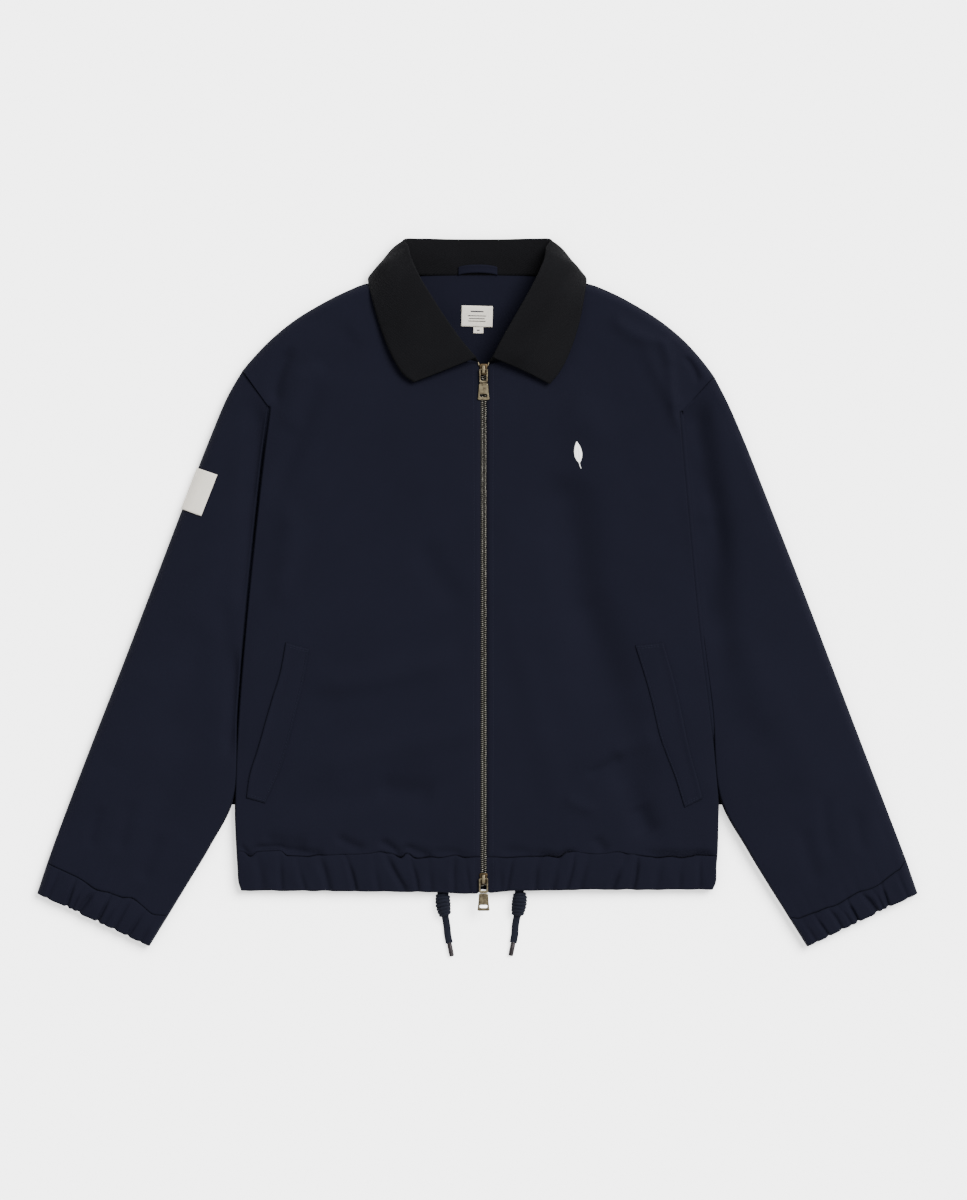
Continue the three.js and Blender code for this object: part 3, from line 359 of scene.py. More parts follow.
def wovenCloth(name, colour, pitch, spread=0.1, roughness=0.92, depth=0.35, ribs=None):
    # plain weave: two crossed sets of threads, with slubs and uneven dye; ribs adds a cord's wales; the
    # colour is darker in the relief's hollows and lighter on its tops, as painted shade and light
    patchSize, slubDepth, gloss = 0.06, 0.8, 0.06
    nodes = Nodes(name)
    place = nodes.add("UVMap", {}, uv_map="clothMap").outputs["UV"]
    dye = nodes.add("TexNoise", {"Vector": place, "Scale": 1 / patchSize, "Detail": 4, "Roughness": 0.6})
    dark, light = ((*(c * share for c in colour), 1) for share in (1 - spread, 1 + spread))
    patches = nodes.ramp(dye.outputs["Fac"], dark, light, 0.32, 0.68)
    slubs = nodes.add("TexNoise", {"Vector": place, "Scale": 0.55 / pitch, "Detail": 4})
    weave = nodes.math("MULTIPLY", nodes.threads(place, pitch, "X"), nodes.threads(place, pitch, "Y"))
    height = nodes.math("ADD", weave, nodes.math("MULTIPLY", slubs.outputs["Fac"], slubDepth))
    if ribs:
        wale = nodes.math("MULTIPLY", nodes.threads(place, ribs, "X", 0.15), 1.4)
        height = nodes.math("ADD", nodes.math("MULTIPLY", height, 0.35), wale)
    # painted shade and light: the colour follows the relief's height, darker in the hollows between threads
    # and wales and lighter on their tops
    reliefShade = nodes.ramp(height, (0.62, 0.62, 0.64, 1), (1.25, 1.25, 1.25, 1))
    colours = {"Factor": 0.5, "A": patches, "B": reliefShade}
    shade = nodes.add("Mix", colours, data_type="RGBA", blend_type="MULTIPLY")
    nodes.feed(nodes.shader, {
        "Base Color": shade.outputs["Result"], "Normal": nodes.relief(height, depth, 0.0004),
        "Roughness": roughness, "Specular IOR Level": gloss,
    })
    return nodes.material


def wornMetal(name, colour, dark, roughness, size=0.004):
    # plated metal, darker and rougher in patches where it has aged
    nodes = Nodes(name)
    place = nodes.add("TexCoord", {}).outputs["Object"]
    wear = nodes.add("TexNoise", {"Vector": place, "Scale": 1 / size, "Detail": 5}).outputs["Fac"]
    rough = nodes.add("MapRange", {"Value": wear, "To Min": roughness + 0.18, "To Max": roughness - 0.05})
    nodes.feed(nodes.shader, {
        "Base Color": nodes.ramp(wear, (*dark, 1), (*colour, 1), 0.34, 0.62), "Metallic": 1.0,
        "Roughness": rough.outputs["Result"], "Normal": nodes.relief(wear, 0.12, 0.0002),
    })
    return nodes.material


canvasCloth = wovenCloth("navy canvas", (0.0038, 0.004, 0.0083), 0.0007, spread=0.035)
cordCloth = wovenCloth("black corduroy", (0.0033, 0.0033, 0.0039), 0.0005, depth=0.65, ribs=0.0016)
cordThread = wovenCloth("black thread", (0.0046, 0.0046, 0.005), 0.0003, spread=0.06, depth=0.3)
tapeCloth = wovenCloth("zip tape", (0.003, 0.0033, 0.0047), 0.0006, depth=0.4)
labelCloth = wovenCloth("cream label", (0.52, 0.49, 0.43), 0.0003, spread=0.04, depth=0.25, roughness=0.8)
printInk = wovenCloth("label bars", (0.02, 0.02, 0.028), 0.0003, spread=0.05, depth=0.2)
seamThread = wovenCloth("navy thread", (0.0085, 0.0092, 0.0165), 0.0003, spread=0.06, depth=0.3)
whiteThread = wovenCloth("white thread", (0.8, 0.8, 0.78), 0.0003, spread=0.03, depth=0.3, roughness=0.7)
cordBraid = wovenCloth("navy cord", (0.0068, 0.0076, 0.0125), 0.0011, depth=0.9)
antiqueBrass = wornMetal("antique brass", (0.16, 0.135, 0.085), (0.05, 0.04, 0.026), 0.34)
agedTeeth = wornMetal("aged teeth", (0.165, 0.157, 0.137), (0.065, 0.06, 0.05), 0.3, 0.0016)
darkNickel = wornMetal("dark nickel", (0.034, 0.03, 0.032), (0.018, 0.0157, 0.0165), 0.5)
# a darker copy of the antique brass for the sliders' plates: painted shade
shadedBrass = wornMetal("shaded brass", (0.055, 0.038, 0.02), (0.02, 0.0135, 0.007), 0.42)
print("materials made")


# Camera, light and floor

stageSetup = {
    "pixel": 1.15,  # millimetres to a pixel of the photograph
    "pixelsHigh": 1200,
    "middle": (0.0, 333.5),  # the photograph's centre, from the zip and the hem
    "distance": 6.0,
    "scaleHeight": 0.010,  # height at which the scale holds
    "sensor": 36,
    "keyStrength": 7.8,
    "keyTilt": 38,
    "keyTurn": 130,
    "keySpread": 34,
    "ambient": 1.173,
}


def makeStage(s):
    camera = bpy.data.cameras.new("camera")
    camera.sensor_fit = "VERTICAL"
    camera.sensor_height = s["sensor"]
    camera.lens = s["sensor"] * (s["distance"] - s["scaleHeight"]) / (s["pixelsHigh"] * s["pixel"] * mm)
    camera.clip_end = 50
    eye = addObject("camera", camera)
    eye.location = np.array([*s["middle"], 0]) * mm + originShift + np.array([0, 0, s["distance"]])
    scene.camera = eye

    key = bpy.data.lights.new("window light", "SUN")
    key.energy = s["keyStrength"]
    key.angle = math.radians(s["keySpread"])
    lamp = addObject("window light", key)
    # the light leans in from the upper right of the picture
    lamp.rotation_euler = (math.radians(s["keyTilt"]), 0, math.radians(s["keyTurn"]))
    lamp.location = (1.5, 1.5, 3)

    world = bpy.data.worlds.new("studio")
    world.use_nodes = True
    background = world.node_tree.nodes["Background"]
    background.inputs["Color"].default_value = (1, 1, 1, 1)
    background.inputs["Strength"].default_value = s["ambient"]
    scene.world = world


makeStage(stageSetup)
print("camera and light set")


# The jacket's outline and heights

outline = {
    "right": {
        "sign": -1,
        "side": [(-279, 0), (-282, 9), (-283.4, 28), (-284.6, 48), (-286, 80), (-286, 110), (-283, 184),
                 (-273.5, 306),
                 (-260.5, 432), (-252.5, 501), (-245.5, 554)],
        "shoulder": [(-277, 597.5), (-267, 609.5), (-244.5, 633), (-215.5, 656.5), (-177.5, 679),
                     (-153.5, 690.5), (-138, 696.7), (-100, 703)],
        "neckline": [(-3.4, 602), (-26, 611), (-54, 637), (-76, 663), (-91, 685), (-100, 701)],
        "sleeve": [  # outer fold x, y and inner fold x, y
            (-277, 597.5, -246.5, 554), (-294, 568, -249.5, 535), (-315.5, 517.5, -254.5, 497),
            (-343.5, 446, -263, 418), (-379, 353, -273.5, 312), (-414.6, 260, -282, 206),
            (-449, 172, -286.5, 107), (-474, 107, -315, 49), (-487.5, 71, -338.5, 10),
        ],
        "cuff": [(-500.6, 35, -363, -30), (-513.3, -3.5, -384, -64.5)],
    },
    "left": {
        "sign": 1,
        "side": [(264, 0), (267.6, 9), (268.2, 27), (269.6, 46), (270.4, 80), (270.6, 108), (266, 163),
                 (249.5, 299),
                 (237.5, 425), (231.5, 490), (226, 548.5)],
        "shoulder": [(265, 591), (251, 609.5), (229.5, 633), (200.5, 656.5), (162.5, 679.5),
                     (139.5, 690.5), (123, 696.7), (86, 703)],
        "neckline": [(3.4, 602), (22, 611), (43, 637), (60, 663), (75, 685), (86, 701)],
        "sleeve": [
            (265, 591, 227, 548.5), (280.5, 561, 229, 529), (299.5, 517.5, 232.5, 491),
            (328, 446, 239.5, 412), (364.5, 353, 249, 309), (400, 260, 262, 207),
            (433.5, 172, 271, 107), (458.5, 107, 302.7, 47), (472.3, 71, 327.5, 6),
        ],
        "cuff": [(486, 35, 351.5, -32), (499.3, -3.5, 372, -65)],
    },
}
heights = {
    "foldLevel": 8, "underRound": 9, "reach": 42,
    "soft": (0.62, 10), "firm": (0.84, 2.4),  # a fold's share of quarter round in its swell, and its radius
    "armholeLift": 6, "armholeReach": 60,
    "loft": [(-65, 17), (0, 18), (45, 19.5), (150, 21.5), (400, 23), (560, 24), (760, 23)],
    "neckRaise": (4, 638, 676),
    "seamGap": 0.3, "band": 41, "zipEdge": 3.4,
    "turningRise": {  # of the side seam's allowance: y, rise
        "right": [(96, 0), (118, 2), (190, 8), (240, 8), (310, 12), (370, 12), (425, 9), (490, 9.5),
                  (540, 14), (560, 17)],
        "left": [(96, 0), (118, 2), (190, 16.6), (330, 17.6), (560, 17.8)],
    },
}
# broad folds: x, y, direction in degrees, half length, half width, rise
softFolds = [
    (-95, 165, 14, 110, 16, 3), (-130, 110, 8, 90, 18, -2.5), (-215, 520, 70, 70, 14, -3.5),
    (-60, 330, 35, 90, 20, 2), (110, 330, 100, 150, 26, -4), (150, 165, 28, 50, 10, 3),
    (175, 100, 118, 55, 16, -3.5), (60, 200, 105, 130, 18, 2), (215, 560, 115, 75, 8, 2.5),
    (260, 475, 99, 110, 14, -5), (272, 350, 92, 100, 15, -4), (-330, 330, 68, 120, 22, 2),
    (-345, 150, 64, 100, 22, -2.5), (360, 160, 112, 110, 24, 2.5),
]

for half in outline.values():
    for name in ("side", "shoulder", "neckline"):
        half[name + "Line"] = smoothLine(half[name])
    half["rows"] = np.array(half["sleeve"] + half["cuff"], float)
    half["outerLine"] = smoothLine(half["rows"][:, :2], 70)
    half["innerLine"] = smoothLine(half["rows"][:, 2:], 70)
    half["silhouette"] = np.vstack([half["shoulderLine"][::-1], half["outerLine"][1:]])
    half["armholeLine"] = np.array([half["sideLine"][-1], half["shoulderLine"][0]])
sideLines = [half["sideLine"] for half in outline.values()]
silhouettes = [half["silhouette"] for half in outline.values()]


def quarterRound(d, radius):
    return np.sqrt(np.maximum(0, 1 - (1 - np.minimum(d / radius, 1)) ** 2))


def swell(d, firm, radius):
    return firm * quarterRound(d, radius) + (1 - firm) * (1 - np.exp(-d / heights["reach"]))


def foldLevel(x, y):
    level = np.full(np.broadcast(x, y).shape, float(heights["foldLevel"]))
    for half in outline.values():
        ax, ay = half["armholeLine"][0]
        level = level + heights["armholeLift"] * np.exp(-np.hypot(x - ax, y - ay) / heights["armholeReach"])
    return level


def softRise(x, y):
    # each fold is a long smooth ridge: rise * exp(-(across / width)^2 - (along / length)^4)
    total = 0
    for fx, fy, turn, long, wide, rise in softFolds:
        c, s = math.cos(math.radians(turn)), math.sin(math.radians(turn))
        along, across = (x - fx) * c + (y - fy) * s, -(x - fx) * s + (y - fy) * c
        total = total + rise * np.exp(-((across / wide) ** 2) - (along / long) ** 4)
    return total


def upper(x, y, softEdges, firmEdges):
    # height of the upper cloth, which swells up from each folded edge
    level = foldLevel(x, y)
    share = 1
    for lines, kind in ((softEdges, "soft"), (firmEdges, "firm")):
        for line in lines:
            share = share * swell(distanceTo(line, x, y), *heights[kind])
    return level + (easedTable(heights["loft"], y) - level + softRise(x, y)) * share


def under(x, y, folds):
    share = 1
    for line in folds:
        share = share * quarterRound(distanceTo(line, x, y), heights["underRound"])
    rise, low, high = heights["neckRaise"]
    return foldLevel(x, y) * (1 - share) + rise * ease(y, low, high) * share


def bodyUpper(x, y):
    return upper(x, y, silhouettes, sideLines)


def bodyUnder(x, y):
    return under(x, y, sideLines + silhouettes)


def sleeveUpper(half, x, y):
    return upper(x, y, [half["outerLine"], half["shoulderLine"]], [half["innerLine"]])


def sleeveUnder(half, x, y):
    return under(x, y, [half["outerLine"], half["shoulderLine"], half["innerLine"]])


def creaseRise(x, y, creases):
    # narrow folds along bowed lines: rise * profile(across / width), fading towards both ends;
    # a fold's lee side drops faster than its other side where sharp is under 1
    total = np.zeros(np.broadcast(x, y).shape)
    for ax, ay, bx, by, bow, wide, rise, sharp in creases:
        dx, dy = bx - ax, by - ay
        length = math.hypot(dx, dy)
        s = ((x - ax) * dx + (y - ay) * dy) / length**2
        across = ((x - ax) * dy - (y - ay) * dx) / length - bow * 4 * s * (1 - s)
        fade = np.where((s > -0.15) & (s < 1.15), ease(s, -0.12, 0.18) * ease(1 - s, -0.12, 0.18), 0)
        total = total + rise * fade * bump(across, 0, np.where(across > 0, wide * sharp, wide))
    return total


# fine creases of the fronts: from x, y to x, y, bow, half width, rise, lee side's share of the width
frontCreases = [
    (-282, 50, -266, 41, 1, 4, -1.6, 1.0),
    (-264, 47, -186, 42, -2, 4.5, -2.2, 0.7),
    (-250, 57, -205, 53, 2, 9, -1.6, 1.0),
    (-118, 56, -92, 39, 0, 4.5, -2.6, 0.7),
    (-168, 62, -138, 48, 2, 5, -1.8, 0.9),
    (-92, 49, -60, 40, -2, 4, -2.2, 0.7),
    (-58, 46, -20, 42, -1, 4, -1.2, 0.8),
    (60, 44, 102, 42, 2, 4, -2.2, 0.7),
    (22, 46, 58, 42, -2, 5, -1.2, 0.8),
    (128, 60, 140, 44, 0, 6, -1.6, 1.0),
    (186, 44, 268, 42, 1, 4.5, -2.4, 0.7),
    (120, 133, 158, 152, 2, 5, -1.4, 0.7),
    (150, 158, 196, 176, 2, 9, 1.4, 1.0),
    (178, 96, 192, 66, 3, 12, -2.4, 1.0),
    (95, 108, 128, 92, 3, 7, 1.2, 1.0),
    (92, 470, 104, 345, -8, 26, -3.4, 1.0),
    (106, 345, 158, 215, -4, 24, -3.2, 1.0),
    (158, 215, 180, 120, -2, 22, -2.4, 1.0),
    (-190, 236, -40, 268, 6, 15, 2.5, 1.0),
    (-235, 330, -222, 440, 3, 14, 1.7, 1.0),
    (-120, 120, -60, 110, 3, 14, -1.6, 1.0),
    (-72, 400, -30, 330, 4, 16, -1.7, 1.0),
    (203, 634, 214, 603, -2, 7, 1.6, 1.0),
    (214, 603, 229, 527, 3, 6, 2.0, 1.2),
    (232, 612, 246, 584, -2, 5, -1.8, 0.7),
    (150, 655, 200, 630, 4, 9, 1.7, 1.0),
    (-222, 620, -240, 562, 4, 8, -2.0, 1.0),
    (-205, 600, -222, 530, 3, 14, 1.6, 1.0),
    (-150, 640, -190, 600, -4, 16, -1.4, 1.0),
    (100, 560, 150, 520, 5, 22, 1.5, 1.0),
]
# gathers of the hem casing: x at the seam, x at the lower edge, half width, depth
hemGathers = [
    (-262, -254, 6, 2), (-236, -230, 6, 2.2), (-214, -205, 5, 1.8), (-187, -179, 5, 3.4),
    (-160, -146, 5.5, 3.6),
    (-128, -119, 5, 1.8), (-112, -90, 5.5, 3.6), (-84, -76, 5, 2.6), (-66, -59, 4.5, 2), (-34, -33, 5, 2),
    (-20, -17, 4.5, 1.6), (16, 20, 4.5, 1.6), (32, 28, 4.5, 2), (64, 59, 5, 2.4), (88, 77, 5, 2.8),
    (104, 95, 5, 2.2), (120, 112, 5, 2.2), (166, 146, 5.5, 3.6), (178, 170, 5.5, 3.4), (202, 198, 6, 1.8),
    (228, 226, 6, 1.6), (250, 247, 5, 1.6),
]
# how far a cuff's seam is pushed towards its end: share of the width from the outer edge, millimetres
cuffSeams = {
    "right": [(0, 4.5), (0.24, 3.4), (0.42, 8), (0.54, 4.2), (0.61, 3), (0.7, -0.8), (0.88, 4.6), (1, 0)],
    "left": [(0, 1), (0.09, 6.6), (0.33, 12), (0.44, 9.2), (0.63, 10.5), (0.75, 8.6), (0.92, 5), (1, 0)],
}
# gathers of a cuff: share of the width from the outer edge at the seam, at the end, half width, depth
cuffGathers = [
    (0.10, 0.09, 0.02, 1.2), (0.24, 0.27, 0.024, 3.4), (0.33, 0.31, 0.018, 1.6), (0.42, 0.36, 0.024, 3.6),
    (0.53, 0.54, 0.026, 3.8), (0.62, 0.6, 0.016, 1.4), (0.70, 0.68, 0.022, 2.2), (0.82, 0.8, 0.028, 2.6),
    (0.91, 0.92, 0.02, 1.4),
]
cuffSeamOpen = {  # share of the width from the outer fold, 0 hidden to 1 open
    "right": [(0, 0.2), (0.12, 0.1), (0.3, 0.15), (0.4, 0.8), (0.55, 0.5), (0.7, 1), (0.78, 0.2), (1, 0.1)],
    "left": [(0, 0.3), (0.15, 0.8), (0.3, 0.4), (0.5, 0.9), (0.65, 0.4), (0.8, 0.9), (1, 0.3)],
}


def gatherDepth(gathers, across, down):
    # gathers as troughs that wander a little: the sum of -deep * exp(-((across - middle) / wide)^2)
    total = np.zeros(np.broadcast(across, down).shape)
    for n, (seam, edge, wide, deep) in enumerate(gathers):
        lean = 0.25 * wide * np.sin(3.1 * down + 1.7 * n)
        middle = seam + (edge - seam) * down + lean
        narrow = wide * (0.72 + 0.2 * np.cos(2.3 * n))
        start = 0.3 * (n % 3) / 2  # some gathers only begin further down
        fade = 0.3 + 0.7 * ease(down, start, start + 0.45)
        total = total - deep * fade * bump(across, middle, narrow)
    return total


def clothWaver(x, y, amount):
    # slow unevenness of laid cloth, in millimetres
    slow = 0.55 * softNoise(x + 0.4 * y, y, 95, 3) + 0.3 * softNoise(x, y - 0.3 * x, 48, 8)
    return amount * (slow + 0.1 * softNoise(x, y, 19, 21))


# how far the gathers push the hem seam up: x, millimetres;
# and where puffed cloth hides it: x, 0 hidden to 1 open
hemSeam = [
    (-283, 4), (-277, 4), (-268, -2), (-259, 4), (-234, 5), (-225, -1.5), (-204, -2.3), (-188, -0.7),
    (-170, 0), (-140, 0.5),
    (-119, 3), (-107, 1.5), (-95, -3.6), (-88, 1.5), (-78, -4.4), (-59, -2.8), (-52, -3.6), (-32, -0.7),
    (-22, -3.6), (-6, -2.6),
    (6, -2.6), (25, -3.6), (42, -2.6), (65, -2.6), (73, -1.7), (86, -3.4), (96, 2.6), (103, 3.4), (130, 1),
    (155, 3.4),
    (167, 1), (190, -2.6), (199, -3.8), (216, -2.6), (226, -3.8), (236, -2.6), (245, -0.8), (264, -1.6),
]
hemSeamOpen = [
    (-283, 0.5), (-262, 0.7), (-225, 1), (-190, 0.8), (-175, 0.1), (-128, 0.1), (-116, 0.8), (-100, 1),
    (-60, 0.9), (-44, 0.4),
    (-30, 0.7), (-6, 0.6), (6, 0.3), (40, 0.45), (62, 0.8), (98, 0.9), (110, 0.1), (146, 0.1), (158, 0.4),
    (172, 0.1),
    (186, 0.9), (215, 1), (240, 0.8), (264, 0.6),
]


def seamDepth(x):
    return easedTable(hemSeamOpen, x)


def seamWander(x):
    return easedTable(hemSeam, x) + 0.4 * softNoise(x, 0 * x, 9, 82)


def edgeWander(x):
    # the casing's lower edge hangs lower beside the zip and is scalloped by its gathers
    low = -0.6 - 3.4 * bump(x, -16, 34) - 1.3 * bump(x, -95, 60) + 1.2 * ease(x, 60, 110)
    return low * ease(np.abs(x), 1, 9) + 0.55 * softNoise(x, 0 * x, 12, 83)


def frontTop(half, x, y):
    # upper face of a front, with the creases that show in the photograph
    edge = np.minimum(distanceTo(half["sideLine"], x, y), distanceTo(half["silhouette"], x, y))
    inside = ease(edge, 0, 14)
    above = y - heights["band"]
    z = bodyUpper(x, y) + heights["seamGap"] / 2
    z = z + inside * (1.7 * creaseRise(x, y, frontCreases) + clothWaver(x, y, 1.5) * ease(np.abs(x), 3, 30))
    # the hem's gathers run up into the front and fade
    pull = np.exp(-np.maximum(above, 0) / 13)
    z = z + 0.75 * inside * ease(np.abs(x), 5, 16) * pull * gatherDepth(hemGathers, x, -0.2)
    # the cloth rolls over into the hem seam
    return z - 1.5 * seamDepth(x) * (1 - quarterRound(np.maximum(above - 0.3, 0), 4.5)) * ease(edge, 0, 8)


def casingTop(half, x, y):
    # gathered casing: puffed between seam and lower edge, and rolled over at both
    t = 1 - y / heights["band"]
    fromSide = np.abs(lineX(half["sideLine"], y) - x)
    near = quarterRound(fromSide, 12) * ease(np.abs(x), 5, 16)
    z = bodyUpper(x, y) + heights["seamGap"] / 2 + 1.4 * np.sin(np.pi * np.clip(t, 0, 1)) * near
    z = z + 0.9 * near * gatherDepth(hemGathers, x, t)
    z = z + near * 0.5 * softNoise(x + 0.2 * y, y * 0.5, 11, 5) * np.sin(np.pi * np.clip(t, 0.08, 1)) ** 0.5
    roll = quarterRound(np.maximum(heights["band"] - y, 0), 4.0) * quarterRound(np.maximum(y, 0), 2.0)
    return z - np.where(y > heights["band"] / 2, 1.5 * seamDepth(x), 1.2) * (1 - roll) * ease(fromSide, 0, 8)


# Floor, with a painted shadow round the jacket

floorSetup = {
    "colour": (0.92, 0.92, 0.92, 1), "glow": 2.0,  # the lit background paper
    # shade, reach, fall and shift paint a shadow into the floor's glow: darker by up to shade near the
    # jacket's outline, fading over reach, and moved by shift down and to the left
    "shade": 0.62, "reach": 5.4, "fall": 1.3, "shift": (-2.2, -2.6), "spacing": 2.5,
    # the collar's edge behind the neck, from its middle to where it meets the shoulder, and its middle's x
    "collar": [(0, 747), (88, 747), (96, 742), (122, 711), (128, 700)], "collarMiddle": -7.8,
}


def jacketEdge(s):
    # the outline of the whole jacket as short lines, which the floor's painted shadow follows: sleeves,
    # cuffs, body, shoulders and collar
    lines = [np.array([line[0] for line in sideLines])]
    for half in outline.values():
        rows = half["rows"]
        lines += [half["silhouette"], rows[:, :2], rows[:, 2:], rows[-1].reshape(2, 2)]
        lines += [half["sideLine"][half["sideLine"][:, 1] < 110]]
        lines += [np.array(s["collar"]) * [half["sign"], 1] + [s["collarMiddle"], 0]]
    return lines


def makeFloor(s):
    x, y = (np.concatenate([[-9000, -1500], np.arange(low, high, s["spacing"]), [1500, 9000]])
            for low, high in ((-570, 560), (-120, 800)))
    gx, gy = np.meshgrid(x, y)
    # painted shadow: the floor's glow is darkened near the jacket's outline, as if cast down and to the left
    away = np.full(gx.shape, 1e4)
    for line in jacketEdge(s):
        away = np.minimum(away, distanceTo(line.astype(float), gx - s["shift"][0], gy - s["shift"][1]))
    floor = makeMesh("floor", pointsFrom(gx, gy, 0).reshape(-1, 3), gridQuads(*gx.shape, False))
    shade = floor.data.attributes.new("shade", "FLOAT", "POINT")
    shade.data.foreach_set("value", (1 - s["shade"] * np.exp(-((away / s["reach"]) ** s["fall"]))).ravel())
    paper = Nodes("pale paper")
    near = paper.add("Attribute", {}, attribute_name="shade")
    paper.feed(paper.shader, {
        "Base Color": s["colour"], "Roughness": 1, "Specular IOR Level": 0, "Emission Color": (1, 1, 1, 1),
        "Emission Strength": paper.math("MULTIPLY", near.outputs["Fac"], s["glow"]),
    })
    floor.data.materials.append(paper.material)


makeFloor(floorSetup)
print("floor laid")


# Drawcords

cordSetup = {
    "width": 8.4, "height": 5.3,
    "routes": {
        "right": [(-47.6, 13.4, -0.95), (-47.6, 12.9, -4), (-47.5, 10.4, 8.7), (-47.4, 7, 6.4),
                  (-47.3, 2.4, 5.6), (-47, -6, 6.3),
                  (-46.4, -18, 7.2), (-44.2, -30, 5.8), (-42.2, -42, 3.2), (-41.2, -52, 3.0),
                  (-39.4, -61.5, 3.0)],
        "left": [(42.6, 13.4, -0.95), (42.6, 12.9, -4), (42.5, 10.4, 8.7), (42.4, 7, 6.4),
                 (42.3, 2.4, 5.6), (42, -6, 6.3),
                 (40.8, -18, 7.2), (38.6, -30, 5.8), (36.6, -42, 3.2), (35.9, -52, 3.0), (34.2, -61, 3.0)],
    },
    "knot": {"from": 0.26, "to": 0.615, "turns": 8, "strand": 1.6,
             "belly": [(0, 3.8), (0.22, 5.9), (0.5, 6.2), (0.8, 5.4), (0.93, 4.4),
                       (1, 1.8)], "spread": 1.2},
    "aglet": [(0, 0), (0.5, 2.0), (1.0, 2.85), (2.2, 2.9), (2.6, 2.7), (3.1, 2.7), (3.5, 2.9), (13.2, 2.9),
              (13.7, 2.7),
              (14.2, 2.7), (14.6, 2.85), (16.4, 2.75), (17.1, 2.0), (17.3, 0)],
}


def makeDrawcord(side, s):
    # the route's first two points are measured from the casing's upper face, less this much
    casingDepth = 2.8
    points = np.array(s["routes"][side], float)
    points[:2, 2] += casingTop(outline[side], points[:2, 0], points[:2, 1]) - casingDepth
    path = throughPoints(points, np.linspace(0, 1, 90))
    even = alongLine(path, np.linspace(0, 1, 120))
    braid = 1 + 0.03 * np.sin(np.arange(120) * 2.1)
    oval = ringShape(20) * [s["width"] / 2, s["height"] / 2]
    rope = sweptTube(f"drawcord_{side}_rope", even, braid[:, None, None] * oval)
    finishPiece(rope, cordBraid, replaces=(f"drawcord_{side}",))

    # the knot: turns of cord wound round the standing part, thickest in the middle
    k = s["knot"]
    t = np.linspace(0, 1, 260)[:, None]
    middle = alongLine(path, k["from"] + (k["to"] - k["from"]) * t[:, 0])
    level, above = squareTo(unit(np.gradient(middle, axis=0)))
    turn = 2 * np.pi * (k["turns"] * t + 0.2)
    coil = middle + easedTable(k["belly"], t) * (k["spread"] * np.cos(turn) * level + np.sin(turn) * above)
    coil[:, 2] = np.maximum(coil[:, 2], k["strand"] + 0.1)
    outward = unit(coil - middle)
    third = np.cross(unit(np.gradient(coil, axis=0)), outward)
    strand = k["strand"] * ringShape(12) * [1, 1.3]
    knot = closedTube(f"knot_{side}_turns", ringsAround(coil, outward, third, strand))
    finishPiece(knot, cordBraid, replaces=(f"knot_{side}",))

    # the metal end starts a little inside the rope
    heading = unit((path[-1] - path[-2]) * [1, 1, 0])
    tip = lathed(f"aglet_{side}_metal", path[-1] - 1.6 * heading, heading, s["aglet"])
    finishPiece(tip, darkNickel, replaces=(f"aglet_{side}",))

    length = wayAlong(path)[-1] * mm
    route = [tuple(p) for p in alongLine(path, np.linspace(0, 1, 32)) * mm + originShift]


for side in outline:
    makeDrawcord(side, cordSetup)
print("drawcords laid")


# Panels

panelSetup = {
    "thickness": 1.3, "backThickness": 2.0,
    "cornerShare": (0.8, 0.9),  # up the panel: where the neckline starts, where the side seam ends
    "front": {"cut": (0.37, 0.68), "area": 0.163, "rows": (120, 14, 34)},
    "back": {"cut": (0.60, 0.68), "area": 0.352, "rows": (70, 12, 30)},
    "backNeck": [[-94, 705], [-60, 707], [46, 707], [80, 705]],
}


def patch(bottom, top, start, end, u, v):
    # surface between four edge curves: bottom + top + sides - corners, blended by u and v
    u, v = np.meshgrid(u, v)
    lowEdge, highEdge, startEdge, endEdge = bottom(u), top(u), start(v), end(v)
    u, v = u[..., None], v[..., None]
    corners = [edge(np.full(1, float(at))) for edge in (bottom, top) for at in (0, 1)]
    mixed = (corners[0] * (1 - u) + corners[1] * u) * (1 - v) + (corners[2] * (1 - u) + corners[3] * u) * v
    return lowEdge * (1 - v) + highEdge * v + startEdge * (1 - u) + endEdge * u - mixed


def twoPart(first, second, corner):
    # an edge that follows one line up to the corner's share and another from there on
    def at(v):
        low = alongLine(first, np.minimum(v / corner, 1))
        high = alongLine(second, np.clip((v - corner) / (1 - corner), 0, 1))
        return np.where((v <= corner)[..., None], low, high)
    return at


def following(line):
    return lambda u: alongLine(np.array(line), u)


def sideEdge(half, corner):
    y = heights["band"] + heights["seamGap"]
    line = half["sideLine"]
    above = np.vstack([[lineX(line, y), y], line[line[:, 1] > y + 0.01]])
    return twoPart(above, half["armholeLine"], corner)


def panelShares(corners, counts):
    a, b = corners
    low, mid, high = counts
    first, last = (1 - crowdEnd(low, 1.25)[::-1]) * a, b + (1 - b) * crowdEnd(high, 1.7)[1:]
    return np.concatenate([first, a + (b - a) * np.linspace(0, 1, mid + 1)[1:], last])


def keepOver(levelRows):
    # the inner face keeps the outer face's y on these rows and its x beside the zip, and stays over the fold
    def fit(inner, outer):
        inner[levelRows, :, 1] = outer[levelRows, :, 1]
        inner[:, 0, 0] = outer[:, 0, 0]
        level = foldLevel(inner[..., 0], inner[..., 1]) + heights["seamGap"] / 2
        inner[..., 2] = np.maximum(inner[..., 2], level)
        return inner
    return fit


def keepUnder(levelRows):
    def fit(inner, outer):
        inner[levelRows, :, 1] = outer[levelRows, :, 1]
        level = foldLevel(inner[..., 0], inner[..., 1]) - heights["seamGap"] / 2
        inner[..., 2] = np.minimum(inner[..., 2], level)
        return inner
    return fit


